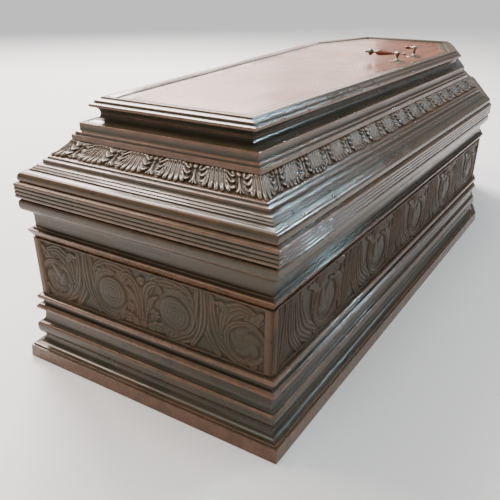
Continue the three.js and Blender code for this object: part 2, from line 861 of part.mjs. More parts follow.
for (const side of sides) {
  coffin.add(
    sideMesh(`base_moulding_${side.name}`, mitredLength(base.shape, side), wood, side),
    sideMesh(`carved_board_${side.name}`, carvedBoard(side, base.level), carvedWood, side),
    sideMesh(`cornice_moulding_${side.name}`, mitredLength(cornice.shape, side), wood, side),
    sideMesh(`lid_rim_${side.name}`, mitredLength(rim.shape, side), wood, side),
    sideMesh(`leaf_band_${side.name}`, leafBand(side, rim.level), carvedWood, side),
    sideMesh(`lid_upper_moulding_${side.name}`, mitredLength(upper.shape, side), wood, side),
    sideMesh(`lid_frame_${side.name}`, mitredLength(frame.shape, side), wood, side),
  );
}
coffin.add(planBoard('bottom_board', -WALL + BOTTOM_REBATE - FIT_GAP, 0, BOTTOM_THICK, plainWood));
coffin.add(planBoard('lid_panel', FRAME.inner - FIT_GAP, frame.panelTop - PANEL_THICK, PANEL_THICK, panelWood));
coffin.add(longLever(frame.panelTop));
coffin.add(shortLever(frame.panelTop));

export default coffin;
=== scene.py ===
# %% [markdown]
# # A carved wooden coffin
# The coffin comes in as plain solids, already at their real size: six mitred sides, a stepped lid and
# two small levers. This lesson dresses them. Mouldings are swept again with fine curves, carving is
# raised from height fields, the leaf band is repeated with Geometry Nodes, and every surface gets
# polished wood or darkened bronze. Everything is in metres.

import json
import math

import bmesh
import bpy
import numpy as np
from mathutils import Matrix, Vector


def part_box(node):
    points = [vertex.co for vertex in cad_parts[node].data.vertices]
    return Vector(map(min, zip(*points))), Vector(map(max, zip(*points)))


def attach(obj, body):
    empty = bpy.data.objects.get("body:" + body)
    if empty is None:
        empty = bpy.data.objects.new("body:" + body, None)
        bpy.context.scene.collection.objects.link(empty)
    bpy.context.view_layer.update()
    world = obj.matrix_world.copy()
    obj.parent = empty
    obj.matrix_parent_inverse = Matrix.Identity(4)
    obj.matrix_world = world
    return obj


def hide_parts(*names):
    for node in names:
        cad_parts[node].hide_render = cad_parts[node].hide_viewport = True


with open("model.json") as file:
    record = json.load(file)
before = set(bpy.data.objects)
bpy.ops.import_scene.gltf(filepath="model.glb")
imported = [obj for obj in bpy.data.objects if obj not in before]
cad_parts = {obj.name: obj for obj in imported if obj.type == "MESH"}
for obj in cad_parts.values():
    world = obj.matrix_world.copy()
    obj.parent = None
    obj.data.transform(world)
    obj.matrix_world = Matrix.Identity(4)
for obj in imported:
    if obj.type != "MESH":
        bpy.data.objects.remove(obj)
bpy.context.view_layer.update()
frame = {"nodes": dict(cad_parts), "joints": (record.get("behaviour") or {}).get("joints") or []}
MM = 0.001

# %% [markdown]
# ## The camera
# The photograph was taken from a little above the lid, off the foot end's right corner, and close
# enough for strong perspective. The place and direction came from fitting the coffin's corners, so
# they are set as two directions rather than by aiming at a point.

# %% Place the camera
CAMERA_PLACE = Vector((0.7107, -1.7608, 0.8800))
CAMERA_FORWARD = Vector((-0.44655, 0.77908, -0.44004)).normalized()
CAMERA_RIGHT = Vector((0.86536, 0.50106, 0.00895))
CAMERA_LENS_MM = 39.98


def put_in_scene(name, data):
    """Makes an object of a mesh, a camera or a light, and links it."""
    thing = bpy.data.objects.new(name, data)
    bpy.context.collection.objects.link(thing)
    return thing


def place_camera():
    camera = put_in_scene("photo_camera", bpy.data.cameras.new("photo_camera"))
    camera.data.lens = CAMERA_LENS_MM
    right = (CAMERA_RIGHT - CAMERA_FORWARD * CAMERA_RIGHT.dot(CAMERA_FORWARD)).normalized()
    up = right.cross(CAMERA_FORWARD)
    turn = Matrix((right, up, -CAMERA_FORWARD)).transposed()
    camera.matrix_world = Matrix.Translation(CAMERA_PLACE) @ turn.to_4x4()
    bpy.context.scene.camera = camera
    return camera


camera = place_camera()
print("camera lens", camera.data.lens)

# %% [markdown]
# ## The plan of the case
# A coffin of this kind is six-sided and widest at the shoulders. Every moulding follows the same
# six-sided plan, only further out or further in, so each side needs just its length, its place, its
# direction and how its mitred ends move as the moulding steps outwards. The tangent of half the
# corner's turn gives that last one.

# %% Work out the six sides
FOOT_WIDTH = 0.643
SHOULDER_WIDTH = 0.854
HEAD_WIDTH = 0.574
CASE_LENGTH = 1.980
SHOULDER_FROM_FOOT = 1.503
MITRE_GAP = 0.0002
SIDE_NAMES = ["foot", "right_side", "right_shoulder", "head", "left_shoulder", "left_side"]
shoulder_y = SHOULDER_FROM_FOOT - CASE_LENGTH / 2
PLAN = [
    Vector((-FOOT_WIDTH / 2, -CASE_LENGTH / 2)),
    Vector((FOOT_WIDTH / 2, -CASE_LENGTH / 2)),
    Vector((SHOULDER_WIDTH / 2, shoulder_y)),
    Vector((HEAD_WIDTH / 2, CASE_LENGTH / 2)),
    Vector((-HEAD_WIDTH / 2, CASE_LENGTH / 2)),
    Vector((-SHOULDER_WIDTH / 2, shoulder_y)),
]


class Side:
    """One side of the plan, with its own x along it, outset away from the case, and level."""

    def __init__(self, index):
        count = len(PLAN)
        start, end = PLAN[index], PLAN[(index + 1) % count]
        before = start - PLAN[index - 1]
        after = PLAN[(index + 2) % count] - end
        run = end - start
        self.name = SIDE_NAMES[index]
        self.length = run.length
        self.middle = (start + end) / 2
        self.heading = math.atan2(run.y, run.x)
        self.start_mitre = math.tan(before.angle(run) / 2)
        self.end_mitre = math.tan(run.angle(after) / 2)
        self.facing = -1 if self.name.startswith("left") else 1

    def along(self, outset, share):
        start = -self.length / 2 - outset * self.start_mitre + MITRE_GAP
        end = self.length / 2 + outset * self.end_mitre - MITRE_GAP
        return start + (end - start) * share

    def place(self, along, outset, level):
        """Turns places on this side into places in the room, as an array of x, y, z rows."""
        along, outset, level = np.broadcast_arrays(along, outset, level)
        cos, sin = math.cos(self.heading), math.sin(self.heading)
        x = self.middle.x + along * cos + outset * sin
        y = self.middle.y + along * sin - outset * cos
        return np.stack([x.ravel(), y.ravel(), level.ravel()], axis=1)


sides = [Side(index) for index in range(len(SIDE_NAMES))]
print({side.name: round(side.length, 3) for side in sides})

# %% [markdown]
# ## Finding each course's levels
# The case is stacked from courses of moulding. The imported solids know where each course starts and
# stops, so the levels are read from them and not typed again.

# %% Read the levels of the courses
COURSES = ["base_moulding", "carved_board", "cornice_moulding", "lid_rim", "leaf_band",
           "lid_upper_moulding", "lid_frame"]


def level_of(node):
    """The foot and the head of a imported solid."""
    low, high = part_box(node)
    return low[2], high[2]


levels = {course: level_of(f"{course}_foot") for course in COURSES}
carved_foot, carved_head = levels["carved_board"]
band_foot, band_head = levels["leaf_band"]
panel_foot, panel_head = level_of("lid_panel")
bottom_head = level_of("bottom_board")[1]
print({course: [round(level, 4) for level in pair] for course, pair in levels.items()})

# %% [markdown]
# ## Profiles, member by member
# A joiner draws a moulding as a stack of members: flats, hollows and rounds. Each row below names a
# member, its form, the outset in millimetres that it ends at, and how far it rises. A hollow is a
# concave quarter and a round is a convex one. The outline is swept along each side.

# %% Draw the profiles
WALL = 30
BOTTOM_REBATE = 18
BASE_START = 36.5
BASE_MEMBERS = [
    ("plinth", "flat", 33.9, 32.5),
    ("plinth top", "flat", 29.1, 0),
    ("plinth fillet", "flat", 29.1, 4.8),
    ("base hollow", "hollow", 5, 26.5),
    ("base round foot", "round", 16.7, 21.6),
    ("base round head", "round", 11, 13),
    ("base sweep", "hollow", -0.5, 29),
    ("list hollow", "hollow", 12.9, 11),
    ("list", "flat", 12.9, 6.3),
    ("bead slope", "flat", 7, 4.7),
    ("quirk", "hollow", -1, 7.1),
    ("cap hollow", "hollow", 8.8, 9.6),
    ("cap", "flat", 8.8, 6),
    ("cap ease", "round", -2, 4.1),
]
CORNICE_START = -6
REED_MEMBERS = [("reed foot", "round", 14.5, 4.4), ("reed head", "round", 12.1, 4.4)]
CORNICE_MEMBERS = [
    ("lip slope", "flat", 4.6, 18.3),
    ("lip", "flat", 4.6, 3),
    ("lip top", "flat", -4.6, 0),
    ("step", "flat", -4.6, 4.6),
    ("step top", "flat", -9.3, 0),
    ("frieze flat", "flat", -9.3, 21.9),
    ("sweep", "hollow", 2, 20),
    ("round foot", "round", 11.6, 15.4),
    ("round head", "round", 5.3, 11.7),
    ("ledge", "flat", 10.9, 4.4),
    *(REED_MEMBERS * 4),
    ("seam ease", "flat", 4, 3.3),
]
RIM_START = 1
RIM_MEMBERS = [
    ("lid round foot", "round", 7, 5),
    ("lid round head", "round", -7.5, 17),
    ("first ledge", "flat", -15, 1.6),
    ("first fillet", "flat", -15, 3.2),
    ("second ledge", "flat", -19.5, 1.4),
    ("second fillet", "flat", -19.5, 2.2),
    ("third ledge", "flat", -26, 2.2),
    ("third fillet", "flat", -26, 2.4),
    ("fourth ledge", "flat", -37, 2.6),
    ("broad fillet", "flat", -37, 8),
    ("fifth ledge", "flat", -45, 2),
    ("fifth fillet", "flat", -45, 3.6),
    ("seat of the leaves", "flat", -54, 3.2),
]
UPPER_START = -86.8
UPPER_MEMBERS = [
    ("lower slab", "flat", -86.8, 11.7),
    ("lower slab top", "flat", -93, 0),
    ("list", "flat", -93, 6.5),
    ("ledge", "flat", -101.1, 2.1),
    ("upper slab", "flat", -101.1, 16.8),
    ("neck hollow", "hollow", -135.7, 15.9),
]
FRAME_START = -136.5
FRAME_MEMBERS = [
    ("cove", "hollow", -118.8, 17),
    ("nose", "flat", -118.8, 6),
    ("nose top", "flat", -127.5, 2.4),
    ("roll", "round", -132, 5.6),
    ("ledge", "flat", -138, 2.3),
    ("fillet", "flat", -140.5, 4.1),
    ("top", "flat", -149.5, 0),
    ("inner round", "flat", -163, -4),
    ("inner step", "flat", -163, -1.5),
    ("inner slope", "flat", -188, -2.6),
]
CURVE_POINTS = 9


def curve_towards(start, through, end, share):
    """The place at a share of a quadratic curve that bends towards a point between its ends."""
    return (1 - share) ** 2 * start + 2 * share * (1 - share) * through + share**2 * end


def quarter(start, end, form):
    """Points of a curve from start to end: a hollow bends inwards and a round outwards."""
    outer, inner = (start, end) if start[0] > end[0] else (end, start)
    through = (outer[0], inner[1]) if form == "round" else (inner[0], outer[1])
    share = np.linspace(0, 1, CURVE_POINTS + 1)[1:, None]
    return curve_towards(np.array(start), np.array(through), np.array(end), share)


def draw_face(start_outset, members):
    """The outer face of a course in millimetres, from level 0 up."""
    points = [np.array([start_outset, 0.0])]
    for _, form, outset, rise in members:
        last = points[-1]
        end = np.array([outset, last[1] + rise])
        points.extend([end] if form == "flat" else quarter(tuple(last), tuple(end), form))
    return np.array(points)


base_face = draw_face(BASE_START, BASE_MEMBERS)
print("base course is", round(float(base_face[-1][1]), 1), "mm high in", len(base_face), "points")

# %% [markdown]
# ## Easing the sharp corners
# No wooden edge is a perfect corner. Sandpaper and varnish leave a round of about half a millimetre,
# and that thin round is what catches the light in the photo. Each sharp corner of a profile is cut
# back on both sides and joined by a short curve. The same pass measures how far each point stands
# out from its neighbours. The varnish later paints noses paler, partly for wear and partly as a
# painted highlight, and lays dust in hollows.

# %% Ease corners and measure noses and hollows
EASE_RADIUS = 0.7
EASE_SHARE = 0.35
EASE_ANGLE = math.radians(20)
EASE_POINTS = 3
SAME_PLACE = 1e-6
STAND_REACH = 7.0
STAND_SAMPLES = 15
STAND_FULL = 1.6


def ease_corners(points):
    eased = []
    count = len(points)
    for i, here in enumerate(points):
        before, after = points[i - 1] - here, points[(i + 1) % count] - here
        reach_in, reach_out = np.linalg.norm(before), np.linalg.norm(after)
        if min(reach_in, reach_out) < SAME_PLACE:
            continue
        turn = math.pi - math.acos(np.clip(before @ after / (reach_in * reach_out), -1, 1))
        if turn < EASE_ANGLE:
            eased.append(here)
            continue
        cut = min(EASE_RADIUS, EASE_SHARE * reach_in, EASE_SHARE * reach_out)
        start, end = here + before / reach_in * cut, here + after / reach_out * cut
        for share in np.linspace(0, 1, EASE_POINTS):
            eased.append(curve_towards(start, here, end, share))
    return np.array(eased)


def close_outline(face, inner, extra=()):
    """Adds the hidden inner side of a course to its face."""
    inside = [np.array([inner, face[-1][1]])] + [np.array(point, float) for point in extra]
    if not extra:
        inside.append(np.array([inner, 0.0]))
    return np.vstack([face, inside])


def standing_out(points):
    """How far each point of a closed outline stands out from the outline near it, in millimetres."""
    lengths = np.linalg.norm(np.roll(points, -1, axis=0) - points, axis=1)
    at = np.concatenate([[0], np.cumsum(lengths)])
    loop = np.vstack([points, points[:1]])

    def sample(distance):
        distance = np.mod(distance, at[-1])
        return np.stack([np.interp(distance, at, loop[:, axis]) for axis in (0, 1)], axis=1)

    offsets = np.linspace(-STAND_REACH, STAND_REACH, STAND_SAMPLES)
    mean = np.mean([sample(at[:-1] + offset) for offset in offsets], axis=0)
    tangent = sample(at[:-1] + 0.5) - sample(at[:-1] - 0.5)
    normal = np.stack([tangent[:, 1], -tangent[:, 0]], axis=1)
    normal /= np.maximum(np.linalg.norm(normal, axis=1, keepdims=True), 1e-9)
    return np.sum((points - mean) * normal, axis=1)


def nose_and_hollow(bulge):
    """The two masks of points that stand out by these shares: noses for wear and a painted highlight, hollows
    for dust.
    """
    return {"nose": np.clip(bulge, 0, 1), "hollow": np.clip(-bulge, 0, 1)}


outline = ease_corners(close_outline(base_face, -WALL))
most = round(float(standing_out(outline).max()), 2)
print("eased base outline:", len(outline), "points, standing out by up to", most, "mm")

# %% [markdown]
# ## Sweeping a length of moulding
# A planed length of moulding keeps one section from end to end and is cut off at the mitre. Two rings
# of points are enough, one at each end, with long faces between them. The UV map holds metres along
# the length and round the section, so the grain will run along every length whatever way it faces.

# %% Build a mitred length
def finish_mesh(name, vertices, faces, uv=None, masks=None, smooth=None):
    mesh = bpy.data.meshes.new(name)
    mesh.from_pydata(vertices, [], faces)
    if uv is not None:
        layer = mesh.uv_layers.new(name="grain")
        layer.data.foreach_set("uv", np.asarray(uv, dtype=np.float32).ravel())
    for mask, values in (masks or {}).items():
        attribute = mesh.attributes.new(mask, "FLOAT", "POINT")
        attribute.data.foreach_set("value", np.asarray(values, dtype=np.float32))
    if smooth is None:
        smooth = np.ones(len(mesh.polygons), dtype=bool)
    mesh.polygons.foreach_set("use_smooth", smooth)
    return put_in_scene(name, mesh)


def sweep_length(name, outline, side, foot_level):
    """Sweeps a closed outline in millimetres along a side, with mitred ends."""
    count = len(outline)
    outset, level = outline[:, 0] * MM, foot_level + outline[:, 1] * MM
    rings = [side.place(side.along(outset, share), outset, level) for share in (0, 1)]
    lengths = np.linalg.norm(np.roll(outline, -1, axis=0) - outline, axis=1) * MM
    round_at = np.concatenate([[0], np.cumsum(lengths)])
    faces, uv = [], []
    for i in range(count):
        j = (i + 1) % count
        faces.append((i, count + i, count + j, j))
        ends = [side.along(outset[k], share) for k, share in ((i, 0), (i, 1), (j, 1), (j, 0))]
        rounds = [round_at[i], round_at[i], round_at[i + 1], round_at[i + 1]]
        uv.extend(zip(ends, rounds))
    for ring in (tuple(range(count)), tuple(range(2 * count - 1, count - 1, -1))):
        faces.append(ring)
        uv.extend((outline[k % count][0] * MM, outline[k % count][1] * MM) for k in ring)
    # The nose mask later paints noses paler: partly wear, partly a painted highlight.
    masks = nose_and_hollow(np.tile(standing_out(outline) / STAND_FULL, 2))
    smooth = np.array([True] * count + [False] * 2)
    piece = finish_mesh(name, np.vstack(rings).tolist(), faces, uv, masks, smooth)
    mesh = bmesh.new()
    mesh.from_mesh(piece.data)
    for edge in mesh.edges:
        if any(len(face.verts) > 4 for face in edge.link_faces):
            edge.smooth = False
    bmesh.ops.recalc_face_normals(mesh, faces=mesh.faces)
    mesh.to_mesh(piece.data)
    mesh.free()
    weighted = piece.modifiers.new("even shading", "WEIGHTED_NORMAL")
    weighted.weight = 100
    weighted.keep_sharp = True
    return piece


# %% [markdown]
# ## The plain mouldings
# Base, cornice, lid rim, upper slab and lid frame are all swept the same way. Each dressed length
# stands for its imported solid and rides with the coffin. The base has a rebate for the bottom board
# and the frame a ledge for the panel, so those two outlines get extra points on the hidden side.

# %% Sweep every course round the coffin
RIM_INNER = -96
UPPER_INNER = -168
FRAME_LEDGE = -188
FRAME_INNER = -205
bottom_thick = bottom_head / MM
panel_ledge = (panel_foot - levels["lid_frame"][0]) / MM
base_rebate = [(-WALL, bottom_thick), (-WALL + BOTTOM_REBATE, bottom_thick), (-WALL + BOTTOM_REBATE, 0)]
frame_back = [(FRAME_LEDGE, panel_ledge), (FRAME_INNER, panel_ledge), (FRAME_INNER, 0)]
SECTIONS = {
    "base_moulding": close_outline(base_face, -WALL, base_rebate),
    "cornice_moulding": close_outline(draw_face(CORNICE_START, CORNICE_MEMBERS), -WALL),
    "lid_rim": close_outline(draw_face(RIM_START, RIM_MEMBERS), RIM_INNER),
    "lid_upper_moulding": close_outline(draw_face(UPPER_START, UPPER_MEMBERS), UPPER_INNER),
    "lid_frame": np.vstack([draw_face(FRAME_START, FRAME_MEMBERS), frame_back]),
}
dressed = []


def dress(piece, body, slot, *nodes):
    """Records a finished piece with the body it rides on, its finish and the solids it stands for."""
    dressed.append((piece, body, slot, nodes))
    return piece


for course, section in SECTIONS.items():
    section = ease_corners(section)
    for side in sides:
        length = sweep_length(f"fine_{course}_{side.name}", section, side, levels[course][0])
        dress(length, "coffin", "polished_wood", f"{course}_{side.name}")
print("swept lengths:", len(dressed))

# %% [markdown]
# ## Carving as a height field
# The boards are carved in low relief: scrolls round flowers, sheaves of stems, leaves and smooth
# bosses in a sunk field. A height field suits relief that nobody sees from behind. Each form is drawn
# over a fine grid in shares of the field's height: a stroke knows, for every grid point, how far
# along and how far across it the point lies, and its section and ribs follow from those two numbers.

# %% Draw strokes, leaves, flowers and bosses over a grid
SHOWS_THROUGH = 0.35


class Relief:
    """Heights over a grid, from 0 at the ground to about 1 at the highest carving."""

    def __init__(self, across, up):
        self.across, self.up = across, up
        self.height = np.zeros((len(up), len(across)))

    def window(self, points, reach):
        """The part of the grid near some points, and the x and y of its grid points."""
        low, high = np.min(points, axis=0) - reach, np.max(points, axis=0) + reach
        columns = slice(*np.searchsorted(self.across, (low[0], high[0])))
        rows = slice(*np.searchsorted(self.up, (low[1], high[1])))
        return (rows, columns), *np.meshgrid(self.across[columns], self.up[rows])

    def lay(self, where, size, new, gap):
        """Lays a form, whose size is 1 at its edge, over what is there, with a cut line round it."""
        old = self.height[where]
        cut = np.clip((size - 1) / gap, 0, 1) ** 0.7
        self.height[where] = np.where(size < 1, np.maximum(new, SHOWS_THROUGH * old), old * cut)


def bend(points, count=22):
    """A smooth curve through a few points."""
    points = np.array(points, float)
    padded = np.vstack([2 * points[0] - points[1], points, 2 * points[-1] - points[-2]])
    out = []
    for k in range(len(points) - 1):
        a, b, c, d = padded[k : k + 4]
        share = np.linspace(0, 1, max(4, count // (len(points) - 1)), endpoint=False)[:, None]
        cubic = 2 * a - 5 * b + 4 * c - d, -a + 3 * b - 3 * c + d
        out.append(0.5 * (2 * b + (c - a) * share + cubic[0] * share**2 + cubic[1] * share**3))
    return np.vstack(out + [points[-1:]])


def coil(centre, start_radius, end_radius, start_angle, turn, count=40):
    share = np.linspace(0, 1, count)
    angle = np.radians(start_angle + turn * share)
    radius = start_radius + (end_radius - start_radius) * share
    return np.stack([centre[0] + radius * np.cos(angle), centre[1] + radius * np.sin(angle)], axis=1)


def measure(path, x, y):
    """For each grid point: its signed distance from a path, and its share along the path."""
    lengths = np.linalg.norm(np.diff(path, axis=0), axis=1)
    at = np.concatenate([[0], np.cumsum(lengths)])
    best = np.full(x.shape, np.inf)
    signed, share = np.zeros(x.shape), np.zeros(x.shape)
    for k, (a, b) in enumerate(zip(path[:-1], path[1:])):
        run = b - a
        t = np.clip(((x - a[0]) * run[0] + (y - a[1]) * run[1]) / max(run @ run, 1e-12), 0, 1)
        dx, dy = x - a[0] - t * run[0], y - a[1] - t * run[1]
        distance = np.hypot(dx, dy)
        nearer = distance < best
        best = np.where(nearer, distance, best)
        signed = np.where(nearer, np.sign(run[0] * dy - run[1] * dx) * distance, signed)
        share = np.where(nearer, (at[k] + t * lengths[k]) / at[-1], share)
    return signed, share


def ribbon(relief, path, wide, ribs=2, head=0.7, tip=0.6, stand=0.95):
    """A ribbed stem: so wide in its middle, and shares of that at its head and its tip."""
    where, x, y = relief.window(path, wide * 1.6)
    signed, share = measure(path, x, y)
    across = signed / (wide * np.interp(share, [0, 0.45, 1], [head, 1, tip]))
    rib = np.abs(np.sin(math.pi * ribs * (np.clip(across, -1, 1) + 1) / 2)) ** 0.8
    round_over = np.sqrt(np.clip(1 - across**2, 0, 1)) ** 0.5
    new = stand * (0.30 + 0.70 * rib) * (0.50 + 0.50 * round_over)
    relief.lay(where, np.abs(across), new, 0.3)


def leaf(relief, path, wide, lobes, stand=0.95, curl=0.15):
    """An acanthus leaf: toothed edges that point to the tip, a sunk midrib and a cut between lobes."""
    where, x, y = relief.window(path, wide * 1.6)
    signed, share = measure(path, x, y)
    body = np.sin(math.pi * np.clip(0.05 + 0.90 * share**0.8, 0, 1)) ** 0.7
    tooth = ((lobes * share) % 1.0) ** 0.7
    size = np.abs(signed) / (wide * body * (0.62 + 0.38 * tooth) + 1e-6)
    between_lobes = np.abs((lobes * share - 0.55 * np.clip(size, 0, 1)) % 1.0 - 0.5) * 2
    lobe = np.clip((1 - between_lobes) / 0.55, 0, 1) ** 0.6
    midrib = np.exp(-((size / 0.14) ** 2))
    dome = np.sqrt(np.clip(1 - size**2, 0, 1))
    lift = 1 + curl * np.clip((share - 0.65) / 0.35, 0, 1)
    new = stand * (0.30 + 0.34 * dome + 0.36 * lobe * (0.35 + 0.65 * size) - 0.16 * midrib) * lift
    relief.lay(where, size, new, 0.4)


def around(relief, centre, radius, reach):
    """The grid near a centre, with each point's share of the radius and its angle."""
    where, x, y = relief.window(np.array([centre]), radius * reach)
    dx, dy = x - centre[0], y - centre[1]
    return where, np.hypot(dx, dy) / radius, np.arctan2(dy, dx)


def flower(relief, centre, radius, stand=0.95, petals=5, turn=0.3, swirl=0.9):
    where, distance, angle = around(relief, centre, radius, 1.3)
    petal = np.abs(np.cos(petals * (angle + turn + swirl * distance) / 2))
    reach = distance / (0.72 + 0.28 * petal**0.6)
    cup = np.sin(math.pi * np.clip(reach, 0, 1) ** 1.3) ** 0.7
    bud = np.clip(1 - (reach / 0.30) ** 2, 0, 1) ** 0.5
    new = stand * np.maximum(0.22 + 0.74 * cup * (0.35 + 0.65 * petal**0.45), 0.85 * bud)
    relief.lay(where, reach, new, 0.25)


def boss(relief, centre, radius, turn):
    """A smooth snail-like disc with rings that wind into its middle."""
    where, reach, angle = around(relief, centre, radius, 1.4)
    wind = (angle * turn / (2 * math.pi) + 4.6 * reach) % 1.0
    groove = np.exp(-(((wind - 0.5) / 0.16) ** 2)) * (reach > 0.12)
    new = (0.55 + 0.45 * np.sqrt(np.clip(1 - reach**2, 0, 1))) * (1 - 0.30 * groove)
    relief.lay(where, reach, new, 0.22)


trial = Relief(np.linspace(-0.5, 0.5, 60), np.linspace(0, 1, 60))
flower(trial, (0, 0.5), 0.3)
print("a trial flower stands", round(float(trial.height.max()), 2), "of the carving's depth")

# %% [markdown]
# ## The ornament
# The two short ends have a mirrored design: a calyx with two florets in the middle, a smooth boss on
# each side under an arching leaf, a double sheaf, and a scroll round a flower against the margin. The
# long sides repeat a sheaf, a scroll with its flower, and leaves that fill the corners. A carver works
# from a drawing, and each table below is that drawing: one row for each form, the lowest ones first.

# %% Compose the carved fields
# Stem: width, ribs, shares of the width at head and tip. Leaf: width, lobes.
# Scroll: width, first and last radius, lean and turn in degrees, share at the tip.
# Flower: radius, turn, swirl, mirrored on the other side. Floret: radius, petals, swirl. Boss: radius.
END_FORMS = [
    ("leaf", (0.12, 8), (0.06, 0.05), (0.34, 0.14), (0.66, 0.07), (0.98, 0.14)),
    ("stem", (0.12, 3, 0.5, 0.7), (1.03, 0.96), (0.99, 0.62), (0.88, 0.30), (0.56, 0.05)),
    ("stem", (0.13, 3, 0.5, 0.6), (1.40, 0.84), (1.42, 0.60), (1.55, 0.30), (1.92, 0.06)),
    ("stem", (0.13, 3, 0.5, 0.7), (1.24, 0.93), (1.24, 0.62), (1.36, 0.28), (1.74, 0.00)),
    ("stem", (0.09, 2, 0.8, 0.6), (1.13, 0.98), (1.13, 0.62), (1.17, 0.34), (1.36, 0.03)),
    ("stem", (0.07, 2, 0.8, 0.6), (1.11, 0.98), (1.11, 0.62), (1.06, 0.34), (0.90, 0.04)),
    ("stem", (0.15, 4, 0.5, 0.4), (1.44, 0.46), (1.52, 0.72), (1.72, 0.88), (2.02, 0.80)),
    ("leaf", (0.11, 4), (1.60, 0.62), (1.78, 0.66), (1.92, 0.74), (2.06, 0.92)),
    ("leaf", (0.07, 3), (1.50, 0.74), (1.44, 0.86), (1.30, 0.88)),
    ("scroll", (0.055, 0.325, 0.30, -60, 300, 0.6), (1.80, 0.37)),
    ("flower", (0.255, 0.8, 1.3), (1.80, 0.37)),
    ("stem", (0.115, 3, 0.3, 0.3), (0.12, 0.62), (0.26, 0.90), (0.58, 0.97), (0.86, 0.86), (0.93, 0.66)),
    ("leaf", (0.09, 5), (0.52, 0.82), (0.74, 0.80), (0.92, 0.62)),
    ("scroll", (0.050, 0.330, 0.295, -30, -215, 0.3), (0.60, 0.46)),
    ("boss", (0.27,), (0.60, 0.46)),
    ("stem", (0.075, 2, 0.5, 0.6), (0.045, 0.20), (0.05, 0.50), (0.11, 0.74), (0.26, 0.86), (0.36, 0.76)),
    ("leaf", (0.060, 3), (0.09, 0.30), (0.17, 0.54), (0.30, 0.66)),
    ("floret", (0.105, 6, 0), (0.23, 0.33)),
    ("floret", (0.075, 4, 0.6), (0.30, 0.09)),
]
CALYX_FORMS = [
    ("stem", (0.034, 1, 0.7, 0.6, 1.0), (0, 0.14), (0, 0.4), (0, 0.72)),
    ("floret", (0.085, 3, 0.9), (0, 0.84)),
    ("floret", (0.085, 5, 0), (0, 0.09)),
]
SIDE_FORMS = [
    ("stem", (0.10, 3, 0.6, 0.8), (-0.93, 0.96), (-0.94, 0.62), (-0.96, 0.30), (-1.00, 0.02)),
    ("stem", (0.11, 3, 0.5, 0.8), (-0.76, 0.98), (-0.78, 0.62), (-0.82, 0.30), (-0.92, 0.02)),
    ("stem", (0.12, 3, 0.5, 0.7), (-0.40, 0.88), (-0.36, 0.60), (-0.22, 0.32), (0.10, 0.08)),
    ("stem", (0.12, 3, 0.5, 0.7), (-0.52, 0.96), (-0.52, 0.62), (-0.40, 0.28), (-0.06, 0.01)),
    ("stem", (0.10, 3, 0.6, 0.8), (-0.64, 1.00), (-0.64, 0.62), (-0.60, 0.32), (-0.40, 0.02)),
    ("leaf", (0.11, 6), (0.90, 0.05), (0.97, 0.40), (0.90, 0.82)),
    ("leaf", (0.08, 4), (0.60, 0.82), (0.78, 0.94), (1.00, 0.92)),
    ("stem", (0.13, 4, 0.5, 0.5), (0.00, 0.46), (0.08, 0.78), (0.40, 0.95), (0.76, 0.82)),
    ("leaf", (0.08, 4), (0.16, 0.64), (0.02, 0.84), (-0.18, 0.92)),
    ("leaf", (0.10, 5), (0.66, 0.80), (0.84, 0.60), (0.82, 0.22)),
    ("scroll", (0.055, 0.40, 0.35, 50, 300, 0.5), (0.43, 0.43)),
    ("flower", (0.285, 0.3, 1.2), (0.43, 0.43)),
]
END_HALF = 2.087
SIDE_PITCH = 2.03
FLORET_STAND = 0.9
SOFTENING = 4


def draw(relief, forms, middle, facing, squeeze):
    """Lays every form of a drawing, with x counted from a middle in the direction it faces."""
    for kind, sizes, *points in forms:
        places = [(middle + facing * squeeze * x, y) for x, y in points]
        if kind == "stem":
            ribbon(relief, bend(places), *sizes)
        elif kind == "leaf":
            leaf(relief, bend(places), *sizes)
        elif kind == "scroll":
            wide, first_radius, last_radius, lean, turn, tip = sizes
            path = coil(places[0], first_radius, last_radius, 90 + lean * facing, turn * facing)
            ribbon(relief, path, wide, tip=tip)
        elif kind == "flower":
            radius, turn, swirl = sizes
            flower(relief, places[0], radius, turn=turn, swirl=swirl * facing)
        elif kind == "floret":
            radius, petals, swirl = sizes
            flower(relief, places[0], radius, FLORET_STAND, petals, swirl=swirl)
        else:
            boss(relief, places[0], *sizes, turn=facing)


def carve(side, across, up, half):
    """The relief of one side's field, whose half length is counted in heights of the field."""
    relief = Relief(across, up)
    if side.name in ("foot", "head"):
        for facing in (-1, 1):
            draw(relief, END_FORMS, 0, facing, half / END_HALF)
        draw(relief, CALYX_FORMS, 0, 1, half / END_HALF)
    else:
        count = max(1, round(half))
        pitch = 2 * half / count
        for unit in range(count):
            draw(relief, SIDE_FORMS, -half + (unit + 0.5) * pitch, side.facing, pitch / SIDE_PITCH)
    padded = np.pad(relief.height, 1, mode="edge")
    upright = padded[:-2, 1:-1] + padded[2:, 1:-1]
    level = padded[1:-1, :-2] + padded[1:-1, 2:]
    relief.height = (relief.height * SOFTENING + upright + level) / (SOFTENING + 4)
    return relief


# %% [markdown]
# ## The carved boards
# Each board is 28 mm thick, with a plain margin round its field. The field is cut 10 mm deep, and
# the relief fills its lower half: the ground lies 5 mm down and the carving nearly reaches the margin,
# soft and worn as in the photo. The board's face is one grid that is fine over the field and has two
# lines close together at the margin, so the field's edge stays crisp. The rim of the grid is carried
# back to the inner face to close the board.

# %% Build the carved boards
FIELD_RAIL = 0.004
FIELD_STILE = 0.017
FIELD_DEPTH = 0.010
FIELD_GROUND = 0.50
FIELD_TOP = 0.98
BULGE_FULL = 0.0012
BOARD_OUTSET = -0.002
FIELD_STEP = 0.0018
EDGE_STEP = 0.0004


def grid_lines(low, high, margin, step):
    """Grid lines from margin to margin, with a close pair at each edge of the field."""
    inner_low, inner_high = low + margin, high - margin
    count = max(2, round((inner_high - inner_low) / step))
    field = np.linspace(inner_low + EDGE_STEP, inner_high - EDGE_STEP, count)
    return np.concatenate([[low, inner_low], field, [inner_high, high]])


